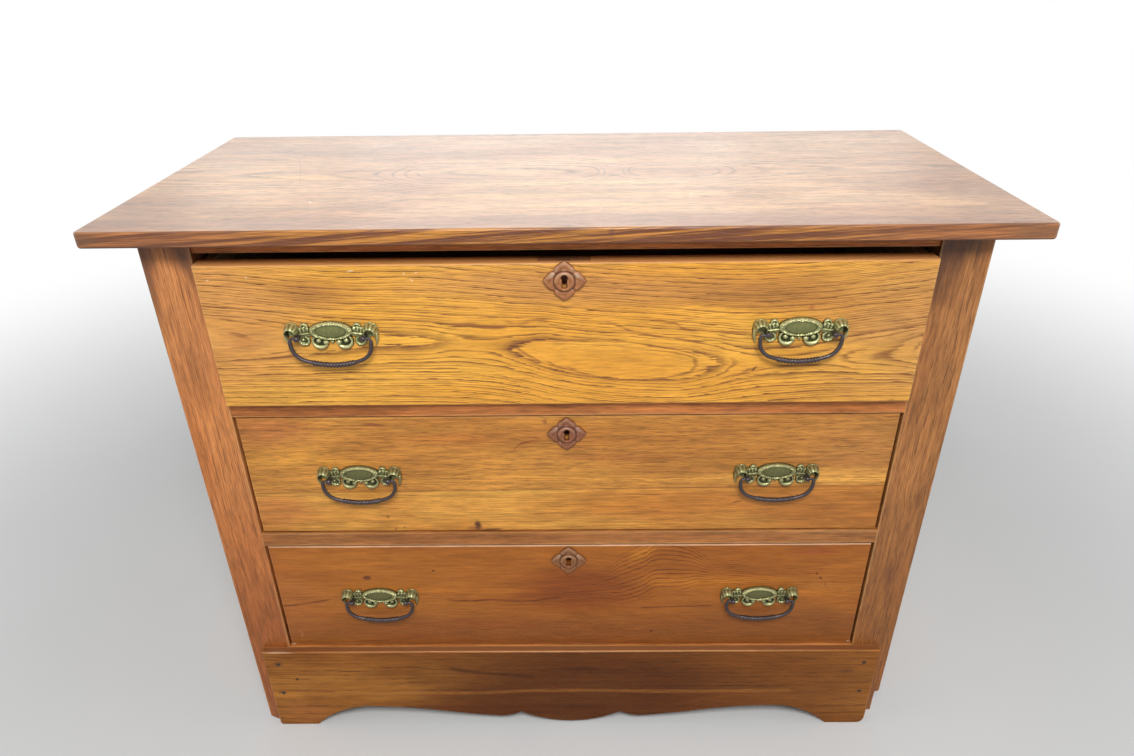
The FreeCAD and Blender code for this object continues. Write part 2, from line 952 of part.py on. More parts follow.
def oval(half_width, half_height, y_low, y_high):
    """A flat oval at the height of the plate's panel."""
    centre = Vector(0, y_low, oval_rise)
    side = Vector(half_width, y_low, oval_rise)
    crown = Vector(0, y_low, oval_rise + half_height)
    outline = Part.Wire([Part.Ellipse(side, crown, centre).toShape()])
    return Part.Face(outline).extrude(Vector(0, y_high - y_low, 0))


def bevelled_ring(outer, band, thickness, bevel):
    """A ring with both front edges bevelled, round the axis from front to back."""
    inner = outer - band
    outline = [
        Vector(inner, 0, 0),
        Vector(outer, 0, 0),
        Vector(outer, bevel - thickness, 0),
        Vector(outer - bevel, -thickness, 0),
        Vector(inner + bevel, -thickness, 0),
        Vector(inner, bevel - thickness, 0),
    ]
    face = Part.Face(Part.makePolygon(outline + [outline[0]]))
    return face.revolve(ORIGIN, BACKWARDS, full_turn)


def c_scroll():
    """The right-hand scroll under the oval, ending in a ball."""
    x = scroll_spacing / 2
    ring = bevelled_ring(scroll_radius, scroll_band, scroll_thickness, scroll_bevel)
    ring = ring.translated(Vector(x, 0, -scroll_drop))
    opening = box(x - scroll_radius - overrun, x, -scroll_thickness - overrun, overrun, -scroll_drop, overrun)
    ball = Part.makeSphere(ball_radius, Vector(ball_spacing / 2, -plate_thickness, -ball_drop))
    return [ring.cut(opening), ball]


def hood():
    """The right-hand hollow hood over the end of the bail."""
    centre = Vector(hood_spacing / 2, -hood_centre_reach, hood_rise)
    shell = Part.makeSphere(hood_radius, centre)
    shell = shell.cut(Part.makeSphere(hood_radius - hood_wall, centre))
    reach = hood_radius + overrun
    below = box(
        centre.x - reach,
        centre.x + reach,
        centre.y - reach,
        centre.y + reach,
        centre.z - reach,
        hood_floor,
    )
    backing = rod(hood_radius, hood_spacing / 2, hood_rise, -plate_thickness, 0)
    return [shell.cut(below), backing]


def eyed_disc(radius, hole_radius, x, z):
    """A flat disc of the plate with a hole through it."""
    disc = rod(radius, x, z, -plate_thickness, 0)
    return disc.cut(rod(hole_radius, x, z, -plate_thickness - overrun, overrun))


def pull_plate():
    """The pierced cast plate behind a bail."""
    rim_inner_width = oval_half_width - oval_rim_width
    rim_inner_height = oval_half_height - oval_rim_width
    rim = oval(oval_half_width, oval_half_height, -oval_rim_thickness, 0)
    dish_front = -oval_rim_thickness - overrun
    dish = oval(rim_inner_width, rim_inner_height, dish_front, -oval_panel_thickness)
    arm = box(
        rim_inner_width,
        post_half_spacing,
        -plate_thickness,
        0,
        arm_rise - arm_half_height,
        arm_rise + arm_half_height,
    )
    right = [
        arm,
        rod(post_pad_radius, post_half_spacing, 0, -plate_thickness, 0),
        eyed_disc(small_scroll_radius, small_scroll_hole_radius, small_scroll_spacing / 2, small_scroll_rise),
        eyed_disc(curl_radius, curl_hole_radius, curl_spacing / 2, -curl_drop),
    ]
    right += c_scroll() + hood()
    bead = rod(drop_bead_radius, 0, -drop_bead_drop, -plate_thickness, 0)
    plate = joined([rim.cut(dish), bead] + in_pairs(right))
    reach = hood_spacing + overrun
    behind = box(-reach, reach, 0, hood_radius + overrun, -reach, reach)
    hole_radius = post_shank_radius + post_hole_clearance
    holes = [
        rod(hole_radius, x, 0, -plate_thickness - overrun, overrun)
        for x in (-post_half_spacing, post_half_spacing)
    ]
    return plate.cut([behind] + holes)


def pull_post():
    """A post with an eye for the bail, and its shank through plate and drawer front."""
    head = rod(post_head_radius, 0, 0, -post_head_reach, -plate_thickness)
    head = head.makeChamfer(post_head_round, edges_at(head, y=-post_head_reach))
    shank = rod(post_shank_radius, 0, 0, -plate_thickness, front_thickness + post_nut_thickness + post_end)
    eye_start = Vector(-post_head_radius - overrun, -pivot_reach, 0)
    eye_length = 2 * (post_head_radius + overrun)
    eye = Part.makeCylinder(bail_pin_radius + bail_pin_clearance, eye_length, eye_start, ACROSS)
    return joined([head, shank]).cut(eye)


def post_nut():
    """The square nut on the end of a post, inside the drawer."""
    half = post_nut_side / 2
    nut = box(-half, half, front_thickness, front_thickness + post_nut_thickness, -half, half)
    radius = post_shank_radius + glue_clearance
    return nut.cut(rod(radius, 0, 0, front_thickness - overrun, front_thickness + post_nut_thickness + overrun))


def bail_point(x, z):
    """A point in the plane in which the bail hangs."""
    return Vector(x, -pivot_reach, z)


def bail_sweep_centre():
    """The centre of the bail's long lower sweep, which both bends run into."""
    bend_x = bail_half_spacing - bail_bend_radius
    rise = bail_drop - bail_arm_drop
    radius = (bend_x**2 + rise**2 - bail_bend_radius**2) / (2 * (rise - bail_bend_radius))
    return bail_point(0, radius - bail_drop), radius


def bail_path():
    """The wire's centre line from one pin round to the other."""
    sweep_centre, sweep_radius = bail_sweep_centre()
    bend_centre = bail_point(bail_half_spacing - bail_bend_radius, -bail_arm_drop)
    towards = (bend_centre - sweep_centre).normalize()
    meeting = sweep_centre + towards * sweep_radius
    corner_centre = bail_point(bail_half_spacing - bail_corner_radius, -bail_corner_radius)
    corner_through = corner_centre + Vector(1, 0, 1).normalize() * bail_corner_radius
    bend_through = bend_centre + (towards + ACROSS).normalize() * bail_bend_radius
    corner = (bail_point(corner_centre.x, 0), corner_through, bail_point(bail_half_spacing, corner_centre.z))
    bend = (bail_point(bail_half_spacing, bend_centre.z), bend_through, meeting)
    straight = (corner[2], bend[0])
    return (
        [arc(*[flipped(point) for point in corner])]
        + [Part.makeLine(*[flipped(point) for point in straight])]
        + [arc(*[flipped(point) for point in bend])]
        + [arc(flipped(meeting), bail_point(0, -bail_drop), meeting)]
        + [arc(*reversed(bend))]
        + [Part.makeLine(*reversed(straight))]
        + [arc(*reversed(corner))]
    )


def tube(edges, radius):
    """A round bar along joined edges."""
    path = Part.Wire(edges)
    start = path.Edges[0]
    point = start.valueAt(start.FirstParameter)
    direction = start.tangentAt(start.FirstParameter)
    section = Part.Wire([Part.Circle(point, direction, radius).toShape()])
    return path.makePipeShell([section], True, False)


def grip(length, radius):
    """The thicker middle of the bail, over a stretch of its lower sweep."""
    centre, sweep_radius = bail_sweep_centre()
    angle = length / 2 / sweep_radius
    side = centre + Vector(math.sin(angle), 0, -math.cos(angle)) * sweep_radius
    return tube([arc(flipped(side), bail_point(0, -bail_drop), side)], radius)


def bail():
    """The bail hanging straight down, with a pin at each end."""
    pin_start = bail_point(bail_pin_end, 0)
    pin_length = bail_half_spacing - bail_corner_radius - bail_pin_end
    pin = Part.makeCylinder(bail_pin_radius, pin_length, pin_start, ACROSS)
    middle_radius = (bail_wire_radius + bail_grip_radius) / 2
    return joined([
        tube(bail_path(), bail_wire_radius),
        pin,
        mirrored(pin),
        grip(bail_grip_length, middle_radius),
        grip(bail_grip_length - 2 * bail_grip_taper, bail_grip_radius),
    ])


# Writing every piece


def write_case():
    """Write the pieces that stand still."""
    write("top_board", top_board())
    stile = front_stile()
    write("front_stile_left", bevelled_foot(mirrored(stile)))
    write("front_stile_right", broken_foot(stile))
    for name, shape in (
        ("back_post", back_post()),
        ("side_panel", side_panel()),
        ("side_top_rail", side_top_rail()),
        ("side_bottom_rail", side_bottom_rail()),
    ):
        write(name + "_left", mirrored(shape))
        write(name + "_right", shape)
    mortised = {"lower_drawer_rail": "lower", "upper_drawer_rail": "middle", "top_front_rail": "upper"}
    for name, place in front_rails.items():
        rail = front_rail(*place)
        write(name, rail.cut(bolt_mortise(mortised[name])) if name in mortised else rail)
    for name, place in back_rails.items():
        write(name, back_rail(*place))
    write("back_boards", *back_boards())
    write("front_apron", front_apron())
    write("apron_nails", *apron_nails())
    write("drawer_runners", *drawer_runners())
    write("drawer_guides", *drawer_guides())
    write("drawer_kickers", *drawer_kickers())
    write("drawer_stops", *drawer_stops())


def write_drawer(drawer):
    """Write the wooden pieces of one drawer, with its lock."""
    side = drawer_side(drawer)
    write(drawer.level + "_drawer_front", drawer_front(drawer))
    write(drawer.level + "_drawer_side_left", mirrored(side))
    write(drawer.level + "_drawer_side_right", side)
    write(drawer.level + "_drawer_back", drawer_back(drawer))
    write(drawer.level + "_drawer_bottom", drawer_bottom(drawer))
    write(drawer.level + "_drawer_lock", drawer_lock(drawer))
    write(drawer.level + "_lock_bolt", lock_bolt(drawer))
    write(drawer.level + "_escutcheon", escutcheon(drawer))


def write_pulls(drawers):
    """Write the pulls of the drawers, all cast alike."""
    plate = pull_plate()
    post = pull_post()
    nut = post_nut()
    hanging_bail = bail()
    for drawer in drawers:
        places = [Vector(x, drawer.face, drawer.pull_z) for x in pull_places()]
        write(drawer.level + "_pull_plates", *[plate.translated(place) for place in places])
        post_spots = [Vector(x, drawer.face, drawer.pull_z) for x in post_places()]
        write(
            drawer.level + "_pull_posts",
            *[shape.translated(spot) for spot in post_spots for shape in (post, nut)],
        )
        for side_name, place in zip(("left", "right"), places):
            write(drawer.level + "_bail_" + side_name, hanging_bail.translated(place))


os.makedirs("parts", exist_ok=True)
write_case()
drawers = [Drawer(level) for level in floors]
for drawer in drawers:
    write_drawer(drawer)
write_pulls(drawers)
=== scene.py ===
"""Looks of an oak chest of three long drawers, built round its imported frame.

Lengths are in metres and heights run from the floor, in the same frame as the solids:
+X to the right, +Y to the back, +Z up. Left and right are as seen from the front.
Where a comment says so they are in mm, as in the tables of tints, marks and strokes.
Colours are red, green and blue as a picture shows them, from 0 to 255.
"""

import math

import bmesh
import bpy
import numpy
from mathutils import Euler, Matrix, Vector


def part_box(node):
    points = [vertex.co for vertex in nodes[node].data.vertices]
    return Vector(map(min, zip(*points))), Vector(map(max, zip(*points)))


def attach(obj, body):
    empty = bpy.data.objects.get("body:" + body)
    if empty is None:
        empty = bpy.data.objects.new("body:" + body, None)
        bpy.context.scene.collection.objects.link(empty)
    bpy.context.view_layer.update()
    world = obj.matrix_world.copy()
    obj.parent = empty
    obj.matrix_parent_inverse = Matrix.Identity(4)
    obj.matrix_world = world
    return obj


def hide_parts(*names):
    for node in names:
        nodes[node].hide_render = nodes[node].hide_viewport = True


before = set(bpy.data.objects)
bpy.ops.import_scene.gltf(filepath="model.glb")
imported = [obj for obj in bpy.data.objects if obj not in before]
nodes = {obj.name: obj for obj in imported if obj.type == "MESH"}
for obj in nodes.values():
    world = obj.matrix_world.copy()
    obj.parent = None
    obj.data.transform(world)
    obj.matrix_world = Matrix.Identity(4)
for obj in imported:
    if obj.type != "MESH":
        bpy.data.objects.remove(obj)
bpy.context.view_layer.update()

MM = 0.001
X, Y, Z = 0, 1, 2


# Arithmetic in a material's nodes


def operation(name):
    """A method that works out one kind of sum from a field and other fields or numbers."""

    def method(self, *others):
        node = self.tree.nodes.new("ShaderNodeMath")
        node.operation = name
        for socket, value in zip(node.inputs, (self, *others)):
            join(self.tree, value, socket)
        return Field(self.tree, node.outputs[0])

    return method


class Field:
    """A number that varies over a surface, so that materials can be written as formulas."""

    __add__ = operation("ADD")
    __sub__ = operation("SUBTRACT")
    __mul__ = operation("MULTIPLY")
    __truediv__ = operation("DIVIDE")
    __pow__ = operation("POWER")
    least = operation("MINIMUM")
    most = operation("MAXIMUM")
    size = operation("ABSOLUTE")
    root = operation("SQRT")
    fraction = operation("FRACT")
    whole = operation("FLOOR")

    def __init__(self, tree, socket):
        self.tree = tree
        self.socket = socket

    def __rsub__(self, other):
        return self * -1.0 + other

    def ramp(self, low, high, low_value=0.0, high_value=1.0):
        """A smooth step from one value at low to another at high."""
        node = self.tree.nodes.new("ShaderNodeMapRange")
        node.interpolation_type = "SMOOTHSTEP"
        for socket, value in zip(node.inputs, (self, low, high, low_value, high_value)):
            join(self.tree, value, socket)
        return Field(self.tree, node.outputs[0])

    def curve(self, points):
        """A smooth curve through points of (place, value)."""
        start, end = points[0][0], points[-1][0]
        low = min(value for place, value in points)
        high = max(value for place, value in points)
        spread = (high - low) or 1.0
        node = self.tree.nodes.new("ShaderNodeFloatCurve")
        join(self.tree, (self - start) / (end - start), node.inputs["Value"])
        line = node.mapping.curves[0]
        shares = [((place - start) / (end - start), (value - low) / spread) for place, value in points]
        line.points[0].location = shares[0]
        line.points[1].location = shares[-1]
        for share in shares[1:-1]:
            line.points.new(*share)
        node.mapping.update()
        return Field(self.tree, node.outputs[0]) * spread + low


def join(tree, value, socket):
    """Links a field to a socket, or sets the socket to a plain value."""
    if isinstance(value, Field):
        tree.links.new(value.socket, socket)
    else:
        socket.default_value = value


def join_all(tree, node, values):
    """Joins a node's sockets, by their names."""
    for name, value in values.items():
        join(tree, value, node.inputs[name])


def light_of(colour):
    """A picture's colour as the linear light that a shader takes. A field stays as it is."""
    if isinstance(colour, Field):
        return colour
    shares = [part / 255 for part in colour]
    linear = [share / 12.92 if share <= 0.04045 else ((share + 0.055) / 1.055) ** 2.4 for share in shares]
    return (*linear, 1.0)


def blended(tree, amount, first, second, blend="MIX"):
    """One colour over another, by an amount from 0 to 1."""
    node = tree.nodes.new("ShaderNodeMix")
    node.data_type = "RGBA"
    node.blend_type = blend
    join(tree, amount, node.inputs[0])
    join(tree, light_of(first), node.inputs[6])
    join(tree, light_of(second), node.inputs[7])
    return Field(tree, node.outputs[2])


def noise(tree, x, y, z, detail, roughness):
    """Soft random numbers from 0 to 1, about one bump for each unit of x, y and z."""
    place = tree.nodes.new("ShaderNodeCombineXYZ")
    for socket, value in zip(place.inputs, (x, y, z)):
        join(tree, value, socket)
    node = tree.nodes.new("ShaderNodeTexNoise")
    tree.links.new(place.outputs[0], node.inputs["Vector"])
    join_all(tree, node, {"Scale": 1.0, "Detail": detail, "Roughness": roughness})
    return Field(tree, node.outputs[0])


def new_material(name):
    """An empty material with one principled shader: its node tree and the shader."""
    material = bpy.data.materials.new(name)
    material.use_nodes = True
    tree = material.node_tree
    tree.nodes.clear()
    output = tree.nodes.new("ShaderNodeOutputMaterial")
    shader = tree.nodes.new("ShaderNodeBsdfPrincipled")
    tree.links.new(shader.outputs[0], output.inputs["Surface"])
    return material, tree, shader


def object_place(tree):
    """The three coordinates of a point, in the object's own frame."""
    source = tree.nodes.new("ShaderNodeTexCoord")
    split = tree.nodes.new("ShaderNodeSeparateXYZ")
    tree.links.new(source.outputs["Object"], split.inputs[0])
    return [Field(tree, socket) for socket in split.outputs]


def hollow_depth(tree):
    """How deep a point of a casting or carving lies: 1 in a hollow, -1 on a ridge. The hood's inner face is
    set to 1, which paints shade inside it.
    """
    node = tree.nodes.new("ShaderNodeAttribute")
    node.attribute_name = "hollow"
    return Field(tree, node.outputs["Fac"])


def bumped(tree, shader, height, depth):
    """Gives the shader a bump from a height field, with its depth in metres."""
    node = tree.nodes.new("ShaderNodeBump")
    join_all(tree, node, {"Strength": 1.0, "Distance": depth, "Height": height})
    tree.links.new(node.outputs[0], shader.inputs["Normal"])


# Wood

stroke_fade = 0.012  # the length over which a drawn line's ends fade
stroke_core_share = 0.35  # the share of a drawn line's width that is at full strength
spot_softness = {"tint": 0.8, "mark": 0.6}  # the share of a spot's size over which it fades
edge_step = 0.002  # the height over which the top's varnish sets in
seam_reach = 0.43  # how far from the middle a seam's left and right heights are given
seam_edge, seam_gap = 0.6 * MM, 1.4 * MM
stroke_shake = 3 * MM  # how far the streaks push a drawn line to and fro
wear_shake, fine_wear_shake = 6 * MM, 2 * MM
seed_stride = 7.31  # how far apart the noises of two boards are taken
line_edge = 0.07  # the share of a ring over which its dark line sets in
blotch_low, blotch_high = 0.32, 0.68

# Bumps per metre along and across the grain, the noise's detail and its roughness
streak_grain = (5.0, 95.0, 3.0, 0.6)
cloud_grain = (4.0, 11.0, 3.0, 0.55)
fleck_grain = (30.0, 330.0, 3.0, 0.65)
mottle_grain = (12.0, 55.0, 3.0, 0.6)
sway_across = 14.0


def metres(lengths):
    """Lengths in mm as metres."""
    return tuple(length * MM for length in lengths)


def mark(u, v, centre, size, soft=1.0, angle=0.0):
    """How near a point is to the middle of a spot (a stain, knot, crack, painted shadow, painted shade,
    painted highlight): 1 inside, 0 outside.
    """
    turn, lift = math.cos(angle), math.sin(angle)
    first = (u - centre[0]) * (turn / size[0]) + (v - centre[1]) * (lift / size[0])
    second = (v - centre[1]) * (turn / size[1]) - (u - centre[0]) * (lift / size[1])
    return (first * first + second * second).root().ramp(1.0, 1.0 - soft)


def stroke(u, v, points, half_width):
    """How near a point is to a line drawn through places on a board: 1 on it, 0 beside it."""
    away = (v - u.curve(points)).size()
    first, last = points[0][0], points[-1][0]
    ends = u.ramp(first, first + stroke_fade) * u.ramp(last, last - stroke_fade)
    return away.ramp(half_width, half_width * stroke_core_share) * ends


def edge_distance(place, low, high):
    """How far a point on a box-shaped board is from the board's nearest edge."""
    first, second, third = [(place[axis] - low[axis]).least(high[axis] - place[axis]) for axis in (X, Y, Z)]
    return first.least(second).most(first.most(second).least(third))


def spotted(tree, u, v, colour, spots, shift, kind):
    """A colour with soft-edged patches of other colours over it, their edges shaken by a shift."""
    for centre, size, tint, amount, *angle in spots:
        centre, size = metres(centre), metres(size)
        wobble = shift * size[1]
        spot = mark(u + wobble, v + wobble, centre, size, spot_softness[kind], *angle)
        colour = blended(tree, spot * amount, colour, tint)
    return colour


def grain(tree, place, shifts, along, across, detail, roughness):
    """Noise drawn out along a board's grain."""
    scales = (along, across, across)
    stretched = [field * scale + shift for field, scale, shift in zip(place, scales, shifts)]
    return noise(tree, *stretched, detail, roughness)


def year_lines(tree, look, board, place, seed, fibre, streak):
    """The dark lines of the year rings on a board: broad ones, and fine ones that follow them."""
    u, v, w = place
    heart = u.curve(look["heart"]) if "heart" in look else look["heart_height"]
    depth = u.curve(look["depth"]) if "depth" in look else look["heart_depth"]
    sway = grain(tree, place, (-seed, 0, 0), look["sway_long"], sway_across, 2.0, 0.5) - 0.5
    side = (v - heart) + sway * look["sway"]
    if "spread" in look:
        side = side / u.curve(look["spread"])
    below = (w - board["front"]) + depth
    reach = (side * side + below * below).root()
    years = (reach / look["ring_unit"]) ** look["ring_power"] + (streak - 0.5) * look["ring_jitter"]

    # Broad lines: a dark band at the start of each ring, which comes and goes along its way
    ring = years + (fibre - 0.5) * look["ring_fuzz"]
    phase = ring.fraction()
    band = phase.ramp(0.0, line_edge) * phase.ramp(look["band"], line_edge)
    fade = noise(tree, u * 7.0 + seed, v * 30.0, ring.whole() * 3.7, 1.0, 0.5)
    fade = fade.ramp(look["fade_low"], look["fade_high"], look["faint"], 1.0)
    pores = fibre.ramp(look["pore_low"], look["pore_high"])
    line = band * fade * (pores * 0.5 + 0.6)
    if "strength" in look:
        line = line * u.curve(look["strength"])
    if "lines_within" in look:
        lowest, low, high, highest = look["lines_within"]
        line = line * side.ramp(lowest, low) * side.ramp(highest, high)

    # Fine lines: several to a ring, each fading in and out along its way
    finer = years * look["fine_count"] + (fibre - 0.5) * 0.3
    thread = finer.fraction()
    comes = noise(tree, u * 11.0 - seed, v * 20.0, finer.whole() * 2.9, 2.0, 0.6)
    threads = thread.ramp(0.0, 0.10) * thread.ramp(0.42, 0.16) * comes.ramp(0.38, 0.56)
    threads = threads * (fibre.ramp(0.3, 0.55) * 0.5 + 0.5)
    if "calm_under" in look:
        clear = years.ramp(*look["calm_under"], 0.2, 1.0)
        line, threads = line * clear, threads * clear
    return line, threads, pores


def wood(name, board, look):
    """Oiled or bare wood, with rings cut by the board's faces, pores, blotches, wear and marks.

    board: along, across, deep (axes), low and high corners, front, seed
    look: colours and strengths, with defaults from wood_defaults
    """
    look = {**wood_defaults, **look}
    material, tree, shader = new_material(name)
    corner = object_place(tree)
    place = u, v, w = [corner[board[key]] for key in ("along", "across", "deep")]
    seed = board["seed"] * seed_stride
    fibre = grain(tree, place, (seed, 0, 0), look["fibre_long"], look["fibre_wide"], 2.0, 0.55)
    streak = grain(tree, place, (seed, 0, seed), *streak_grain)
    cloud = grain(tree, place, (seed, seed, 0), *cloud_grain)
    fleck = grain(tree, place, (seed, 0, 0), *fleck_grain)
    mottle = grain(tree, place, (-seed, 0, 0), *mottle_grain)
    line, threads, pores = year_lines(tree, look, board, place, seed, fibre, streak)

    # Colour: the wood's own, a second board below a seam, lines, pores, drawn lines, and the tints and
    # marks: stains, painted shade and painted highlights
    patches = (cloud - 0.5) * 1.2
    blotches = cloud.ramp(blotch_low, blotch_high)
    colour = blended(tree, blotches, look["light"], look["middle"])
    colour = spotted(tree, u, v, colour, look["tints"], patches, "tint")
    if "seam" in look:
        first, last = look["seam"]
        past = v - (u + seam_reach) * ((last - first) / (2 * seam_reach)) - first
        under = past.ramp(seam_edge, -seam_edge)
        lower = blended(tree, blotches, look["under_light"], look["under_middle"])
        lower = spotted(tree, u, v, lower, look["under_tints"], patches, "tint")
        colour = blended(tree, under, colour, lower)
        pores = pores * under.ramp(0.0, 1.0, 1.0, 0.3)
        colour = blended(tree, past.size().ramp(seam_gap, 0.0) * 0.6, colour, look["dark"])
    colour = blended(tree, streak.ramp(0.35, 0.75) * look["streaks"], colour, look["deep"])
    for amount in (threads * look["threads"], line * look["lines"], pores * look["pores"]):
        colour = blended(tree, amount, colour, look["dark"])
    broken = fibre.ramp(0.36, 0.58) * 0.65 + 0.35
    for half_width, tint, amount, *points in look["strokes"]:
        points = [metres(point) for point in points]
        drawn = stroke(u, v + (streak - 0.5) * stroke_shake, points, half_width * MM) * broken
        colour = blended(tree, drawn * amount, colour, tint)
    colour = spotted(tree, u, v, colour, look["marks"], streak + fibre - 1.0, "mark")

    # Tone: flecks and mottle, what lies over the wood (dust, old oil and painted shade on some boards), and
    # wear at its edges
    tone = (fleck.ramp(0.3, 0.7) - 0.5) * look["flecks"] + (mottle.ramp(0.3, 0.7) - 0.5) * look["mottle"]
    colour = blended(tree, 1.0, colour, tone + 1.0, "MULTIPLY")
    if "overlay" in look:
        colour = look["overlay"](tree, u, v, w, colour)
    if look["wear"]:
        edge = edge_distance(corner, board["low"], board["high"])
        shaken = edge + (cloud - 0.5) * wear_shake + (fibre - 0.5) * fine_wear_shake
        worn = shaken.ramp(look["wear_width"], 0.0)
        colour = blended(tree, worn * look["wear"], colour, look["worn"])
    coat = look["coat"]
    if "coat_above" in look:
        coat = w.ramp(look["coat_above"] - edge_step, look["coat_above"], 0.05, coat)
    join_all(tree, shader, {
        "Base Color": colour,
        "Roughness": (cloud + fibre * 0.6).ramp(0.4, 1.2, look["smooth"], look["rough"]),
        "Specular IOR Level": look["shine"],
        "Coat Weight": coat,
        "Coat Roughness": look["coat_roughness"],
    })
    bumped(tree, shader, streak * 0.3 - (line + pores) * 0.5, look["relief"])
    return material


wood_defaults = {
    "fibre_long": 55.0, "fibre_wide": 620.0, "heart_depth": 0.03, "sway": 0.01, "sway_long": 6.0,
    "ring_unit": 0.01672, "ring_power": 1.4, "ring_jitter": 0.45, "ring_fuzz": 0.5, "band": 0.36,
    "fade_low": 0.32, "fade_high": 0.6, "faint": 0.25, "pore_low": 0.5, "pore_high": 0.64,
    "streaks": 0.35, "lines": 0.9, "pores": 0.18, "fine_count": 3.0, "threads": 0.0,
    "light": (222, 165, 92), "middle": (205, 142, 74), "deep": (182, 118, 62), "dark": (112, 66, 32),
    "worn": (226, 180, 120), "wear": 0.5, "wear_width": 0.003, "flecks": 0.26, "mottle": 0.16,
    "tints": (), "marks": (), "strokes": (), "smooth": 0.36, "rough": 0.54, "shine": 0.28, "coat": 0.1,
    "coat_roughness": 0.3, "relief": 0.0004,
}


def board_of(node, along, seed):
    """A node as a board: its grain along its longest side and its rings deep in its thinnest."""
    low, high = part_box(node)
    thinnest_first = sorted((X, Y, Z), key=lambda axis: high[axis] - low[axis])
    if along is None:
        along = thinnest_first[-1]
    deep = next(axis for axis in thinnest_first if axis != along)
    across = X + Y + Z - along - deep
    front = low[deep]
    return dict(along=along, across=across, deep=deep, low=low, high=high, front=front, seed=seed)


def dress(node, material):
    """Puts one material on every slot of a solid's node."""
    mesh = nodes[node].data
    mesh.materials.clear()
    mesh.materials.append(material)


def dress_wood(node, look, along=None, heart_shift=0.0):
    """Dresses one node as a board of its own, with its rings round its middle line."""
    board = board_of(node, along, seed=len(dressed) + 1)
    dressed.append(node)
    middle = (board["low"][board["across"]] + board["high"][board["across"]]) / 2
    dress(node, wood(node + "_wood", board, {"heart_height": middle + heart_shift, **look}))


dressed = []

# The drawers from the top one down, with the places of their faces, pulls and keyholes
levels = ("upper", "middle", "lower")
face_y = {"upper": -0.2185, "middle": -0.2045, "lower": -0.2045}
pull_z = {"upper": 0.692, "middle": 0.4765, "lower": 0.2604}
keyhole_z = {"upper": 0.758, "middle": 0.5425, "lower": 0.3304}

# Heights and depths between which the dust and painted shade on the upper drawer's top edge, the dust on
# the apron's top and the top board's front edge set in
front_edge_start, front_edge_end = 0.7770, 0.7786
apron_edge_start, apron_edge_end = 0.1618, 0.1623
apron_arris_back, apron_arris_front = -0.2158, -0.2172
slab_face_back, slab_face_front = -0.2350, -0.2362
slab_foot_top, slab_foot_bottom = 0.8095, 0.8080


def top_edge_dust_and_shade(tree, u, v, w, colour):
    """Years of dust and old oil on the top edge of the drawer front, behind its face, with painted shade
    from the top board over it.
    """
    return blended(tree, v.ramp(front_edge_start, front_edge_end) * 0.8, colour, (196, 136, 84))
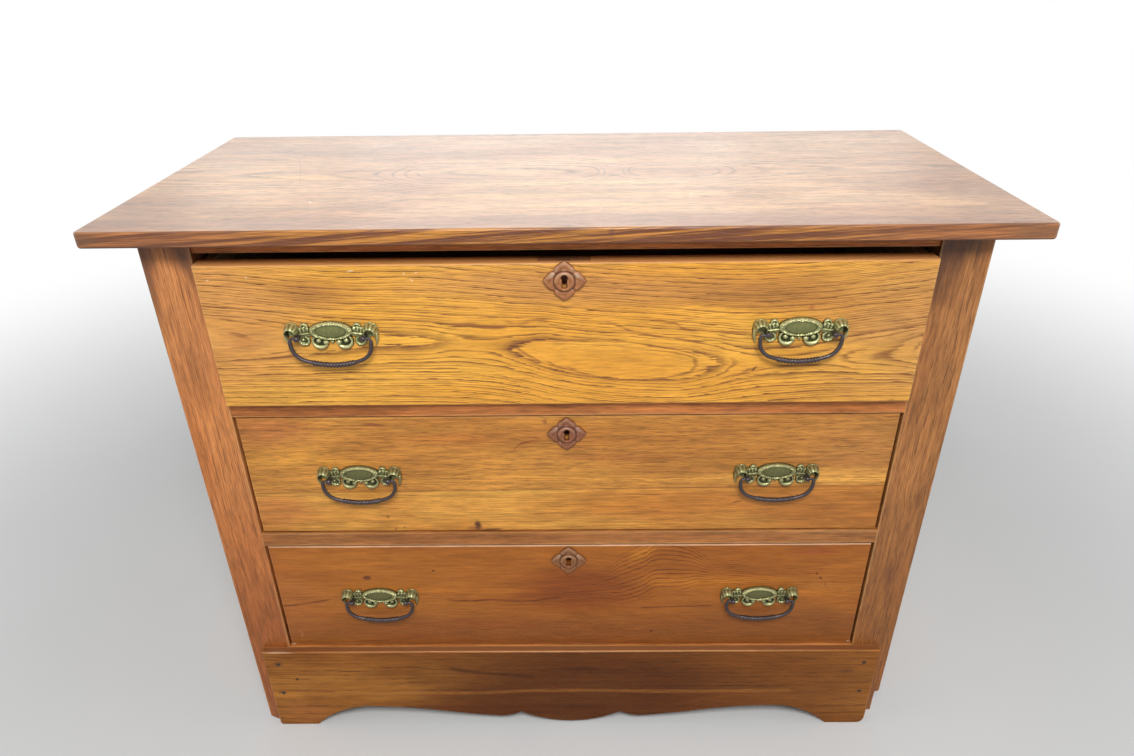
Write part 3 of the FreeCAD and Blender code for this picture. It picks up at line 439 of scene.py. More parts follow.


# The colours of the fronts darken from the upper drawer down to the apron: partly the boards' own colours,
# partly painted shade of the light falling off downward.
upper_front = {
    "overlay": top_edge_dust_and_shade, "wear": 0.15, "calm_under": (3.4, 3.85), "threads": 0.75, "lines": 1.0,
    "flecks": 0.2, "mottle": 0.14, "light": (240, 178, 70), "middle": (228, 161, 58),
    "deep": (205, 142, 62), "dark": (112, 64, 34), "worn": (236, 190, 120),
    "heart": (
        (-0.43, 0.689), (-0.37, 0.687), (-0.25, 0.682), (-0.17, 0.681), (-0.11, 0.678),
        (-0.055, 0.671), (0.06, 0.655), (0.178, 0.65), (0.26, 0.653), (0.35, 0.66), (0.43, 0.666),
    ),
    "depth": (
        (-0.43, 0.0325), (-0.37, 0.0366), (-0.25, 0.0439), (-0.17, 0.045), (-0.11, 0.0474),
        (-0.057, 0.045), (0.0, 0.0398), (0.06, 0.0384), (0.12, 0.0398), (0.178, 0.045),
        (0.26, 0.05), (0.35, 0.0472), (0.43, 0.0396),
    ),
    "tints": (
        ((-430, 700), (200, 140), (204, 142, 84), 0.75), ((440, 700), (210, 140), (188, 136, 84), 0.75),
        ((-290, 744), (75, 30), (150, 92, 54), 0.55), ((0, 752), (300, 34), (192, 132, 80), 0.65),
        ((240, 746), (160, 36), (152, 98, 58), 0.6), ((-380, 683), (24, 12), (184, 118, 62), 0.5),
        ((60, 655), (150, 32), (218, 150, 52), 0.55),
    ),
    "strokes": (
        (3.4, (146, 90, 44), 0.9, (-140, 701), (-114, 703.5), (-90, 700), (-64, 703)),
        (3, (146, 90, 44), 0.85, (-75, 708), (-50, 706), (-36, 708), (-14, 702)),
        (1.7, (150, 92, 46), 0.8, (-170, 726.5), (-130, 726), (-95, 725)),
        (2.6, (140, 84, 48), 0.7, (-360, 661), (-335, 664), (-315, 668)),
        (4, (150, 92, 52), 0.75, (-402, 696.5), (-385, 692.5), (-368, 686)),
        (2.8, (150, 92, 52), 0.75, (-368, 685), (-384, 677.5), (-403, 667)),
        (2.4, (140, 84, 42), 0.85, (44, 707), (65, 700), (77.5, 694), (102.5, 687.5), (130, 682.5),
         (170, 677)),
        (2.4, (150, 90, 44), 0.8, (100, 709), (130, 702.5), (142, 695), (180, 691), (225, 690)),
        (1.5, (138, 84, 40), 0.85, (-70, 681.5), (-20, 682), (50, 682.5), (85, 677.5), (137.5, 667.5),
         (165, 657)),
        (3.2, (142, 88, 44), 0.75, (-66, 679), (-52, 668), (-38, 658), (-22, 650)),
        (1.8, (136, 82, 40), 0.85, (-30, 652), (5, 642.5), (35, 634), (65, 628), (107, 629),
         (140, 635)),
        (1.8, (138, 84, 42), 0.8, (130, 633), (165, 641), (182, 648)),
        (1.3, (132, 78, 40), 0.8, (195, 629), (222.5, 637.5), (265, 645), (310, 646)),
        (1.4, (134, 82, 46), 0.75, (240, 617.5), (290, 623.8), (335, 626.3), (377.5, 625),
         (424, 617.5)),
        (3, (132, 84, 66), 0.7, (318, 626), (335, 626.5), (352, 626)),
        (1.4, (148, 92, 50), 0.7, (325, 690), (365, 691), (395, 696), (424, 699)),
    ),
    "marks": (
        ((227, 642), (6, 2.2), (84, 44, 30), 0.8, 0.9),
        ((-407, 762), (3, 0.8), (235, 215, 190), 0.6, 0.4),
        ((-362, 765), (2, 0.9), (240, 222, 200), 0.7, -0.5),
        ((-242, 772), (5, 0.9), (240, 222, 200), 0.6, 0.1),
        ((-182, 768), (2.2, 0.8), (240, 222, 200), 0.7, 0.9),
        ((-174, 760), (3, 0.8), (240, 222, 200), 0.7, -0.7),
        ((-168, 769), (2.2, 0.8), (240, 222, 200), 0.6, 0.3),
        ((377, 659), (18, 7), (150, 96, 52), 0.55, 0.25), ((285, 722), (4, 6), (168, 92, 60), 0.6, 0.3),
    ),
}

middle_front = {
    "fibre_long": 60.0, "light": (206, 142, 60), "middle": (178, 117, 49), "deep": (172, 104, 46),
    "dark": (104, 58, 28), "worn": (236, 190, 124), "seam": (0.4495, 0.4575),
    "under_light": (222, 164, 72), "under_middle": (198, 131, 53), "heart_height": 0.33,
    "heart_depth": 0.09, "ring_unit": 0.022, "lines": 0.3, "pores": 0.3, "pore_low": 0.54,
    "flecks": 0.42, "mottle": 0.22, "threads": 0.3,
    "tints": (
        ((-385, 550), (80, 35), (184, 114, 60), 0.8), ((0, 466), (550, 16), (222, 156, 66), 0.6),
        ((-340, 500), (120, 25), (228, 160, 62), 0.5), ((30, 535), (240, 30), (188, 122, 50), 0.5),
        ((-150, 535), (100, 14), (190, 110, 44), 0.5), ((440, 510), (190, 120), (190, 130, 66), 0.8),
        ((60, 505), (140, 10), (170, 102, 48), 0.5), ((380, 473), (300, 21), (232, 168, 78), 0.85),
    ),
    "under_tints": (
        ((440, 420), (460, 80), (174, 108, 44), 0.95), ((120, 430), (260, 30), (190, 120, 44), 0.6),
        ((-400, 420), (90, 40), (180, 106, 52), 0.7), ((-130, 425), (180, 20), (222, 154, 66), 0.5),
    ),
    "marks": (
        ((-247, 557), (20, 4), (146, 82, 46), 0.75, -0.05),
        ((-124, 393), (6.8, 9.8), (72, 40, 24), 0.95, 0.15), ((-128, 388), (16, 5), (128, 74, 36), 0.6),
        ((-106, 385.5), (20, 3.4), (84, 48, 28), 0.85, 0.1),
        ((-246, 409), (2.2, 3.4), (128, 74, 38), 0.8, 0.7), ((-216, 411), (9, 2.6), (166, 96, 48), 0.6),
        ((-238, 387), (1.8, 4), (120, 70, 38), 0.7, -0.6),
        ((-226, 390), (1.6, 4), (120, 70, 38), 0.7, -0.7), ((-31, 494), (20, 3), (150, 92, 48), 0.6),
        ((-28, 560), (4, 5), (120, 66, 40), 0.6, 0.3), ((228, 431), (8, 1.8), (104, 56, 30), 0.75, 0.2),
        ((240, 423), (16, 3), (150, 84, 40), 0.5), ((120, 416), (12, 1.3), (126, 72, 34), 0.6),
        ((200, 569.5), (12, 1.6), (120, 78, 70), 0.6),
    ),
    "strokes": (
        (1.7, (132, 50, 26), 1, (-74.5, 510), (-67.8, 519.5), (-61.5, 525.8), (-51.5, 530),
         (-28, 535.5)),
    ),
    "wear": 0.25,
}

lower_front = {
    "fibre_long": 40.0, "light": (184, 114, 43), "middle": (160, 93, 34), "deep": (138, 70, 26),
    "dark": (86, 36, 14), "wear": 0.15, "shine": 0.2, "coat": 0.05, "worn": (226, 178, 140),
    "heart": (
        (-0.43, 0.262), (-0.33, 0.27), (-0.2, 0.268), (-0.1, 0.266), (0.0, 0.272), (0.052, 0.284),
        (0.077, 0.293), (0.11, 0.309), (0.132, 0.3205), (0.16, 0.319), (0.195, 0.311),
        (0.22, 0.3045), (0.295, 0.298), (0.43, 0.289),
    ),
    "spread": (
        (-0.43, 1.0), (-0.1, 0.8), (0.02, 0.9), (0.06, 1.3), (0.1, 1.8), (0.13, 1.8), (0.17, 1.5),
        (0.22, 0.85), (0.43, 0.75),
    ),
    "strength": (
        (-0.43, 0.45), (-0.2, 0.35), (0.0, 0.7), (0.06, 0.95), (0.13, 1.0), (0.22, 0.9),
        (0.33, 0.5), (0.43, 0.4),
    ),
    "heart_depth": 0.0015, "ring_unit": 0.0046, "ring_power": 1.0, "ring_jitter": 0.5, "ring_fuzz": 0.2,
    "band": 0.55, "fade_low": 0.2, "fade_high": 0.5, "faint": 0.5, "lines": 0.8, "pores": 0.1,
    "sway": 0.003, "flecks": 0.24, "mottle": 0.14, "lines_within": (-0.036, -0.022, 0.02, 0.034),
    "tints": (
        ((0, 175), (950, 85), (137, 79, 34), 0.95), ((300, 200), (250, 55), (136, 80, 33), 0.9),
        ((20, 285), (130, 60), (128, 62, 24), 0.8), ((-430, 260), (100, 120), (174, 104, 52), 0.5),
        ((200, 290), (140, 22), (204, 126, 42), 0.6), ((105, 343), (30, 14), (214, 138, 46), 0.6, 0.5),
        ((-160, 273), (160, 8), (204, 122, 44), 0.5), ((350, 345), (50, 10), (150, 74, 42), 0.5),
        ((340, 264), (100, 10), (196, 118, 42), 0.5),
    ),
    "marks": (
        ((-290, 298), (8.5, 5.5), (88, 46, 26), 0.85), ((-193, 311), (3.5, 2), (64, 34, 22), 0.85, 0.4),
        ((354, 302), (4, 1.6), (96, 40, 22), 0.9, -1.1),
        ((360, 293), (5, 2.2), (96, 40, 22), 0.9, -0.9), ((369, 280), (8, 1), (120, 58, 30), 0.6, -1.1),
        ((122, 190), (2.8, 4), (96, 40, 24), 0.9, 0.1),
        ((-419, 166), (5, 1.8), (206, 190, 164), 0.7, 0.5),
        ((418.5, 167.5), (3, 1.6), (206, 190, 164), 0.7),
        ((-300, 172), (35, 1.8), (104, 56, 30), 0.6, 0.02),
        ((-404, 186), (1.6, 10), (190, 130, 96), 0.5, 0.2),
        # This pale band along the top edge is partly worn wood and partly a painted highlight where the
        # edge would be lit.
        ((0, 356.2), (900, 2), (226, 180, 144), 0.85),
    ),
    "strokes": (
        (3, (100, 48, 22), 0.9, (-184, 260.5), (-150, 252.5), (-115, 254), (-65, 251), (-33, 256),
         (-6, 258)),
        (2.8, (104, 52, 26), 0.8, (-430, 243), (-397, 247), (-374, 251), (-345, 258)),
        (2.4, (100, 48, 22), 0.75, (100, 237), (150, 239), (215, 242)),
        (1.6, (104, 46, 20), 0.7, (-20, 268.5), (20, 269.5), (45, 274.5)),
    ),
}

left_post = {
    "light": (212, 140, 80), "middle": (196, 120, 62), "deep": (172, 98, 50), "dark": (112, 62, 32),
    "ring_unit": 0.02, "sway": 0.02, "sway_long": 2.5, "lines": 0.55, "threads": 0.45, "pores": 0.25,
    "flecks": 0.36, "mottle": 0.22,
    "tints": (
        # painted shade: the first tint darkens the post towards the bottom, as the light falls off downward
        ((50, -455), (500, 400), (150, 80, 30), 0.9), ((700, -455), (140, 200), (184, 124, 76), 0.5),
        # painted shadow: this tint darkens the post's top, where the top board casts its shadow
        ((815, -455), (110, 400), (82, 58, 46), 0.92),
    ),
    "wear": 0.3,
}

right_post = {
    **left_post,
    "light": (188, 128, 72), "middle": (162, 106, 57), "deep": (136, 78, 42), "dark": (84, 46, 26),
    "flecks": 0.42, "sway": 0.035, "sway_long": 5.0,
    "tints": (
        # painted shade: the first tint darkens the post towards the bottom, as the light falls off downward
        ((50, 455), (500, 400), (142, 86, 34), 0.85), ((700, 455), (140, 200), (150, 98, 56), 0.5),
        # painted shadow: the first tint on this line darkens the post's top, where the top board casts its
        # shadow
        ((815, 455), (120, 400), (60, 40, 32), 0.92), ((300, 455), (40, 14), (112, 66, 38), 0.6),
    ),
}

side_look = {
    "light": (206, 140, 80), "middle": (188, 120, 64), "deep": (166, 100, 52), "dark": (110, 64, 34),
    "heart_depth": 0.12,
}

rail_look = {
    "light": (194, 120, 60), "middle": (178, 106, 48), "deep": (152, 86, 42), "dark": (100, 54, 28),
    "heart_depth": 0.2, "lines": 0.5, "flecks": 0.45, "mottle": 0.4, "wear": 0.25,
}


def apron_grime(tree, u, v, w, colour):
    """Dust and old oil on the apron's top face, behind its worn front arris."""
    on_top = v.ramp(apron_edge_start, apron_edge_end) * w.ramp(apron_arris_front, apron_arris_back)
    return blended(tree, on_top * 0.85, colour, (118, 72, 42))


apron_look = {
    "overlay": apron_grime, "light": (172, 112, 46), "middle": (140, 82, 30), "deep": (114, 62, 22),
    "dark": (60, 28, 12), "worn": (190, 132, 82), "wear": 0.25, "shine": 0.12, "coat": 0.02,
    "heart_height": 0.06, "heart_depth": 0.05, "lines": 0.5, "flecks": 0.2,
    "tints": (
        # painted shadow: the first tint darkens the middle of the apron, where a shadow falls on it
        ((40, 80), (440, 220), (78, 35, 8), 0.9), ((340, 80), (200, 140), (118, 66, 24), 0.6),
        ((-440, 70), (50, 12), (196, 128, 52), 0.6), ((-420, 30), (60, 30), (178, 108, 54), 0.5),
    ),
    "marks": (
        ((-421, 104.5), (3.5, 3.5), (58, 32, 20), 0.85, 0.2),
        ((-445, 137), (11, 7.5), (92, 62, 40), 0.5, 0.2), ((-450, 75), (8, 5), (92, 62, 40), 0.5, 0.2),
        ((-440, 161.5), (30, 1.4), (196, 170, 140), 0.6),
        ((0, 162.4), (500, 1.8), (204, 148, 98), 0.75), ((420, 118), (16, 6), (92, 52, 36), 0.6),
        ((20, 125), (45, 6), (64, 30, 14), 0.5), ((-240, 97), (20, 3), (100, 54, 26), 0.5),
    ),
    "strokes": (
        (5.5, (56, 26, 12), 0.65, (-190, 127), (-137, 117), (-100, 113), (-50, 108)),
        (1.8, (70, 36, 18), 0.6, (-250, 131), (-200, 126), (-150, 124)),
        (1.6, (80, 44, 22), 0.6, (-380, 124), (-340, 122), (-300, 118)),
        (2.2, (58, 28, 14), 0.7, (100, 88), (197, 86.5), (299, 86.5), (345, 89)),
        (5.2, (176, 114, 54), 0.45, (-430, 68.6), (-290, 72.7), (-162, 72.7), (-8.5, 77.8),
         (145, 74.7), (345, 76)),
    ),
}


def slab_edge(tree, u, v, w, colour):
    """The slab's front edge, where long slanting bands of golden and dark wood meet the air."""
    slant = w - u * 0.07
    wave = noise(tree, u * 5.0, slant * 190.0, 3.3, 4.0, 0.65)
    fine = noise(tree, u * 24.0, w * 700.0, 1.7, 2.0, 0.6)
    patch = noise(tree, u * 9.0, w * 25.0, 8.1, 2.0, 0.5)
    bare = blended(tree, wave.ramp(0.38, 0.56), (196, 132, 54), (108, 60, 34))
    stained = blended(tree, wave.ramp(0.35, 0.58), (176, 112, 64), (112, 68, 42))
    middle = u.ramp(-0.44, -0.22) * u.ramp(0.40, 0.20) * patch.ramp(0.30, 0.50)
    left_end = mark(u, w, (-0.53, 0.819), (0.04, 0.02))
    right_end = mark(u, w, (0.51, 0.817), (0.05, 0.02))
    knot = mark(u, w, (0.052, 0.8205), (0.006, 0.007))
    foot = (w + (wave - 0.5) * 0.003).ramp(slab_foot_top, slab_foot_bottom)
    face = blended(tree, middle, stained, bare)
    for amount, tint in (
        (fine.ramp(0.45, 0.65) * 0.45, (92, 52, 32)),
        (left_end.most(right_end) * 0.6, (110, 80, 56)),
        (knot * 0.7, (92, 56, 46)),
        (foot * 0.8, (70, 32, 18)),
    ):
        face = blended(tree, amount, face, tint)
    return blended(tree, v.ramp(slab_face_back, slab_face_front), colour, face)


top_look = {
    "light": (228, 178, 124), "middle": (198, 146, 102), "deep": (162, 108, 74), "dark": (84, 46, 30),
    "worn": (176, 122, 80), "heart_height": -0.002,
    "depth": (
        (-0.54, 0.085), (-0.3, 0.0738), (-0.245, 0.0671), (-0.225, 0.0601), (-0.205, 0.0528),
        (-0.18, 0.045), (-0.12, 0.04), (-0.07, 0.0385), (-0.02, 0.04), (0.035, 0.045),
        (0.05, 0.0528), (0.065, 0.059), (0.08, 0.0528), (0.095, 0.045), (0.14, 0.0415),
        (0.19, 0.045), (0.215, 0.0528), (0.25, 0.0601), (0.33, 0.0671), (0.54, 0.075),
    ),
    "streaks": 0.42, "pores": 0.3, "sway": 0.006, "shine": 0.4, "coat": 0.75, "coat_above": 0.8262,
    "smooth": 0.3, "rough": 0.42, "overlay": slab_edge, "flecks": 0.28, "mottle": 0.28, "wear": 0.15,
    "tints": (
        ((0, -215), (1200, 35), (162, 118, 92), 0.7), ((-350, 140), (260, 70), (186, 142, 112), 0.6),
        ((-360, -22), (140, 14), (244, 194, 120), 0.8), ((0, -110), (260, 20), (244, 196, 124), 0.7),
        ((60, -155), (200, 12), (244, 198, 130), 0.6), ((20, -60), (200, 12), (250, 206, 132), 0.7),
        # painted shade: the tints at x -500 and 500 darken the ends of the top, where the varnish mirrors
        # less light
        ((50, 60), (240, 15), (244, 196, 124), 0.5), ((-500, -160), (120, 100), (160, 118, 92), 0.7),
        ((500, -100), (120, 220), (166, 122, 92), 0.6), ((0, 235), (1000, 20), (170, 124, 92), 0.6),
        ((-75, -2), (100, 12), (244, 200, 132), 0.6),
    ),
    "marks": (
        ((153, -113), (1, 9), (240, 216, 190), 0.8, 0.1),
        ((-304, -132), (2, 4), (240, 222, 200), 0.8, 0.3),
    ),
    "strokes": (
        (2.2, (128, 92, 70), 0.7, (-395, 104), (-373, 60), (-355, 0), (-338, -60)),
    ),
}

inner_look = {
    "light": (206, 170, 122), "middle": (190, 152, 106), "deep": (176, 136, 92), "dark": (136, 96, 62),
    "worn": (214, 186, 146), "heart_depth": 0.1, "lines": 0.4, "pores": 0.1, "shine": 0.2, "coat": 0.0,
    "smooth": 0.55, "rough": 0.75, "wear": 0.25,
}

dress_wood("upper_drawer_front", upper_front)
dress_wood("middle_drawer_front", middle_front)
dress_wood("lower_drawer_front", lower_front)
dress_wood("top_board", top_look)
dress_wood("front_apron", apron_look)
dress_wood("front_stile_left", left_post, heart_shift=-0.09)
dress_wood("front_stile_right", right_post, heart_shift=0.09)
for side in ("left", "right"):
    dress_wood("back_post_" + side, side_look)
    dress_wood("side_top_rail_" + side, side_look)
    dress_wood("side_bottom_rail_" + side, side_look)
    dress_wood("side_panel_" + side, {**side_look, "heart_depth": 0.03}, along=Z)
for node in ("top_front_rail", "upper_drawer_rail", "bottom_front_rail"):
    dress_wood(node, rail_look)
dress_wood("lower_drawer_rail", {**rail_look, "light": (166, 107, 54), "middle": (150, 92, 42)})
unworn_look = {**inner_look, "wear": 0.0}
dress_wood("back_top_rail", unworn_look)
dress_wood("back_bottom_rail", unworn_look)
dress_wood("back_boards", unworn_look, along=Z)
for part in ("runners", "guides", "kickers", "stops"):
    dress_wood("drawer_" + part, unworn_look)
for level in levels:
    for part in ("side_left", "side_right", "back", "bottom"):
        dress_wood(level + "_drawer_" + part, inner_look)


# Metal


def metal(name, bright, dull, patina, polish, metallic=0.7):
    """Old cast metal: rubbed bright on what stands proud, dark in the hollows, stained all over.

    polish is how strongly the bright colour shows.
    """
    material, tree, shader = new_material(name)
    x, y, z = object_place(tree)
    speckle = noise(tree, x * 900, y * 900, z * 900, 3.0, 0.6)
    cloud = noise(tree, x * 160, y * 160, z * 160, 3.0, 0.6)
    sunk = hollow_depth(tree) + (cloud - 0.5) * 0.5
    colour = blended(tree, sunk.ramp(0.0, 0.75), dull, patina)
    colour = blended(tree, sunk.ramp(0.05, -0.6) * polish, colour, bright)
    join_all(tree, shader, {
        "Base Color": blended(tree, speckle.ramp(0.5, 0.75) * 0.4, colour, patina),
        "Metallic": metallic,
        "Roughness": (speckle + cloud).ramp(0.7, 1.3, 0.30, 0.5),
    })
    bumped(tree, shader, speckle + cloud, 0.15 * MM)
    return material


brass = metal("aged_brass", (188, 186, 136), (116, 117, 72), (54, 60, 36), 0.9)
dull_brass = metal("dull_brass", (164, 160, 114), (104, 103, 64), (56, 58, 36), 0.75)
bronze = metal("dark_bronze", (114, 103, 102), (74, 65, 66), (44, 37, 38), 0.5)
steel = metal("lock_steel", (150, 146, 138), (116, 110, 100), (88, 70, 54), 0.5)
stained_steel = metal("stained_steel", (176, 128, 88), (158, 110, 72), (110, 72, 46), 0.4, 0.15)
iron = metal("nail_iron", (96, 84, 74), (74, 58, 48), (52, 38, 30), 0.4)

for level in levels:
    dress(level + "_drawer_lock", stained_steel)
    dress(level + "_lock_bolt", steel)
    dress(level + "_pull_posts", bronze)
dress("apron_nails", iron)


# Cast and carved pieces as relief over a flat back

full_hollow = 1.1 * MM  # the depth under what is round a point at which it is as dark as it gets
hollow_reach = 4  # how many grid steps count as round a point
least_share = 0.02  # how near to a grid point an outline may cross between two of them


def relief(cover, height, half_width, low, high, step):
    """A closed plate whose front stands height proud of its flat back wherever cover is above 0.

    cover and height are functions of the grids x and z. The plate faces -Y. It returns a bmesh.
    """
    columns = int(round(2 * half_width / step))
    rows = int(round((high - low) / step))
    across = numpy.linspace(-half_width, half_width, columns + 1)
    upward = numpy.linspace(low, high, rows + 1)
    x, z = numpy.meshgrid(across, upward)
    inside = cover(x, z)
    proud = height(x, z)
    grid = numpy.stack((x, z, proud), axis=-1)
    hollows = numpy.clip((around(proud, hollow_reach) - proud) / full_hollow, -1.0, 1.0)
    shape = bmesh.new()
    hollow = shape.verts.layers.float.new("hollow")
    points = {}

    def pair_at(place, depth):
        front = shape.verts.new((place[0], -place[2], place[1]))
        back = shape.verts.new((place[0], 0.0, place[1]))
        front[hollow] = depth
        back[hollow] = 0.5
        return front, back

    def corner(key):
        if key not in points:
            points[key] = pair_at(grid[key], hollows[key])
        return points[key]

    def crossing(first, second):
        key = start, end = min(first, second), max(first, second)
        if key not in points:
            share = inside[start] / (inside[start] - inside[end])
            share = min(max(share, least_share), 1 - least_share)
            points[key] = pair_at(grid[start] + (grid[end] - grid[start]) * share, hollows[start])
        return points[key]

    for row in range(rows):
        for column in range(columns):
            cell = [(row, column), (row, column + 1), (row + 1, column + 1), (row + 1, column)]
            outline = []
            for first, second in zip(cell, cell[1:] + cell[:1]):
                if inside[first] > 0:
                    outline.append((corner(first), False))
                if (inside[first] > 0) != (inside[second] > 0):
                    outline.append((crossing(first, second), inside[first] > 0))
            if not outline:
                continue
            shape.faces.new([pair[0] for pair, leaving in outline])
            shape.faces.new([pair[1] for pair, leaving in reversed(outline)])
            for (pair, leaving), (after, _) in zip(outline, outline[1:] + outline[:1]):
                if leaving:
                    shape.faces.new((pair[0], pair[1], after[1], after[0]))
    return shape


def around(height, reach):
    """Each point's height averaged over its neighbours, up to a reach of grid steps."""
    wide = numpy.pad(height, reach, mode="edge")
    rows, columns = height.shape
    steps = range(2 * reach + 1)
    total = sum(wide[down : down + rows, along : along + columns] for down in steps for along in steps)
    return total / len(steps) ** 2


def mesh_from(name, shape):
    """A mesh made from a bmesh, which isn't needed after it."""
    mesh = bpy.data.meshes.new(name)
    shape.to_mesh(mesh)
    shape.free()
    return mesh


def finished(mesh, material, sharp=55.0):
    """A mesh with smooth shading, sharp only at edges steeper than the angle, and its material."""
    mesh.materials.append(material)
    mesh.shade_smooth()
    mesh.set_sharp_from_angle(angle=math.radians(sharp))
    return mesh


def placed(name, mesh, body, location):
    """An object that shows a mesh at a place and rides on a body."""
    piece = bpy.data.objects.new(name, mesh)
    bpy.context.scene.collection.objects.link(piece)
    piece.location = location
    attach(piece, body)
    return piece


def pillow(cover, edge):
    """Rises from 0 at a shape's rim to 1 at a distance inside it, rounded like a casting."""
    share = numpy.clip(cover / edge, 0.0, 1.0)
    return numpy.sqrt(1.0 - (1.0 - share) ** 2)


def bump(away, width):
    """1 where away is 0, and soft towards 0 on both sides of it."""
    return numpy.exp(-((away / width) ** 2))


def dome(away, radius):
    """The height of half a ball: 1 at its middle and 0 from its radius on."""
    return numpy.sqrt(numpy.clip(1 - (away / radius) ** 2, 0, 1))


def polar(x, z, centre):
    """The distance to a centre and the angle round it."""
    return numpy.hypot(x - centre[0], z - centre[1]), numpy.arctan2(z - centre[1], x - centre[0])


def bar_distance(x, z, first, last):
    """The distance to a straight stretch, and the share of the way along it."""
    run = (last[0] - first[0], last[1] - first[1])
    length = run[0] ** 2 + run[1] ** 2
    share = numpy.clip(((x - first[0]) * run[0] + (z - first[1]) * run[1]) / length, 0.0, 1.0)
    away = numpy.hypot(x - first[0] - run[0] * share, z - first[1] - run[1] * share)
    return away, share


# The pull plate, in mm: x from its middle, z from the height of the posts

oval_height, oval_half_width, oval_half_height = 6.4, 26.4, 11.9
oval_panel_share = 0.715  # how far out the smooth panel reaches
post_centre = (39.0, 0.0)
small_scroll = (31.0, 11.2)
leaf_curl, leaf_eye = (33.6, -6.6), (34.6, -5.4)
scroll_centre = (14.6, -7.6)
hood_x, hood_base = 46.5, 3.4
hood_radius, hood_lift, hood_inset = 9.0, 4.1, 0.4
hood_depth, hood_flutes, flute_depth, hood_wall = 14.4, 14, 0.22, 1.5
bare_plate = 0.6  # the height of what no ornament covers
plate_grid = (0.0566, -0.0194, 0.0194, 0.0006)  # half its width, its bottom, top and step, in metres

# Bars: their ends, half their width at the first end and its growth towards the last one, the
# height of the rim, the rise in the middle and its growth, and how far in the rim is rounded
plate_bars = {
    "crest over the oval": ((0, 17.2), (7, 16.6), 1.5, 0.0, 2.2, 1.4, 0.0, 1.5),
    "tail of the hood": ((54.0, 4.0), (53.6, -3.5), 2.0, 0.0, 2.2, 5.6, -1.8, 1.5),
    "tip of the tail": ((53.6, -3.5), (51.4, -12.3), 2.0, -1.0, 2.0, 3.8, -2.6, 1.2),
}

# Discs: centre, radius, height of the rim, rise in the middle, how far in the rim is rounded
plate_discs = {
    "pad under the post": (post_centre, 6.8, 1.2, 0.9, 1.6),
    "backing of the hood": ((hood_x, 7.5), 9.0, 1.2, 1.0, 1.5),
}

# Balls in the curls of the C scroll: centre, radius, height of the rim, rise in the middle
plate_balls = (
    ((7.6, -8.0), 3.7, 1.6, 4.0),
    ((16.2, -6.0), 3.3, 1.4, 3.0),
)


def plate_parts(x, z):
    """The ornaments of the pull plate: for each, how far inside it a point is, and its height."""
    x, z = numpy.abs(x) * 1000, z * 1000
    parts = []

    # Oval that rises over a ribbed flank to a double bead round a smooth panel
    share, turn = polar(x / oval_half_width, (z - oval_height) / oval_half_height, (0, 0))
    flank = numpy.clip((1.0 - share) / 0.24, 0, 1)
    ribs = numpy.abs(numpy.sin(turn * 22)) ** 0.8
    ribs = ribs * numpy.clip(flank * 4, 0, 1) * numpy.clip((share - 0.78) * 30, 0, 1)
    beads = bump(share - 0.745, 0.022) + 0.7 * bump(share - 0.95, 0.025)
    rise = 1.8 + 3.4 * numpy.sin(flank * math.pi / 2) + 1.7 * ribs + 0.8 * beads
    panel = 4.5 + 0.8 * numpy.clip(1 - (share / 0.70) ** 2, 0, 1)
    parts.append(((1.0 - share) * 12.5, numpy.where(share < oval_panel_share, panel, rise)))

    for first, last, half, widens, base, rise, swells, edge in plate_bars.values():
        away, along = bar_distance(x, z, first, last)
        cover = half + widens * along - away
        parts.append((cover, base + (rise + swells * along) * pillow(cover, edge)))
    for centre, radius, base, rise, edge in plate_discs.values():
        cover = radius - polar(x, z, centre)[0]
        parts.append((cover, base + rise * pillow(cover, edge)))
    for centre, radius, base, rise in plate_balls:
        away, _ = polar(x, z, centre)
        parts.append((radius - away, base + rise * dome(away, radius)))

    # Arm from the oval to the post, with a ridge
    away, along = bar_distance(x, z, (21.0, 4.4), (39.0, 2.0))
    cover = 4.4 - along * 0.6 - away
    parts.append((cover, 1.6 + 1.6 * pillow(cover, 2.6) + bump(away, 0.8)))

    # Leaf along the arm's top, from the small scroll to the hood
    away, along = bar_distance(x, z, (28.0, 9.0), (42.0, 6.0))
    cover = 2.8 + numpy.sin(along * 3.1) - away
    veins = 0.6 * numpy.cos(along * 22)
    parts.append((cover, 1.8 + (1.8 + veins) * pillow(cover, 1.8)))

    # Small scroll beside the oval: a curl round an eye
    away, _ = polar(x, z, small_scroll)
    parts.append((5.2 - away, 1.4 + 2.4 * (bump(away - 3.7, 1.0) + 0.9 * bump(away, 1.3))))

    # Leaf curl under the arm, fat along its lower edge
    away, turn = polar(x, z, leaf_curl)
    below = numpy.clip(-numpy.sin(turn - 0.4), 0, 1)
    flutes = numpy.cos(turn * 9)
    curl = bump(away - 5.4 + 0.8 * below, 1.3 + 0.8 * below)
    eye = bump(polar(x, z, leaf_eye)[0], 1.7)
    rise = 1.2 + (2.4 + 0.4 * flutes) * curl * (0.6 + 0.7 * below) + 2.2 * eye
    parts.append((7.6 + 0.3 * flutes - away, rise))

    # C scroll under the oval, fat below, and open above towards the plate's middle
    away, turn = polar(x, z, scroll_centre)
    below = numpy.clip(-numpy.sin(turn), 0, 1)
    half = 1.6 + 1.5 * below
    ridge = dome(away - 10.2 + half, half)
    opening = numpy.clip((numpy.minimum(scroll_centre[0] - x, z - scroll_centre[1]) + 1.0) / 2.0, 0, 1)
    parts.append((10.6 - away, 1.2 + (2.6 + 1.6 * below) * ridge * (1 - opening)))

    # Drop bead between the scrolls, and its stalk up to the oval
    away, along = bar_distance(x, z, (0, -2.5), (0, -7.4))
    width = 1.3 + 1.2 * along
    parts.append((width - away, 1.6 + 2.2 * pillow(width - away, width)))
    return parts


def plate_cover(x, z):
    """How far inside the pull plate's outline a point is."""
    return numpy.max([cover for cover, rise in plate_parts(x, z)], axis=0) * MM


def plate_height(x, z):
    """How far the pull plate stands proud at a point."""
    rises = [numpy.where(cover > 0, rise, bare_plate) for cover, rise in plate_parts(x, z)]
    return numpy.max(rises, axis=0) * MM


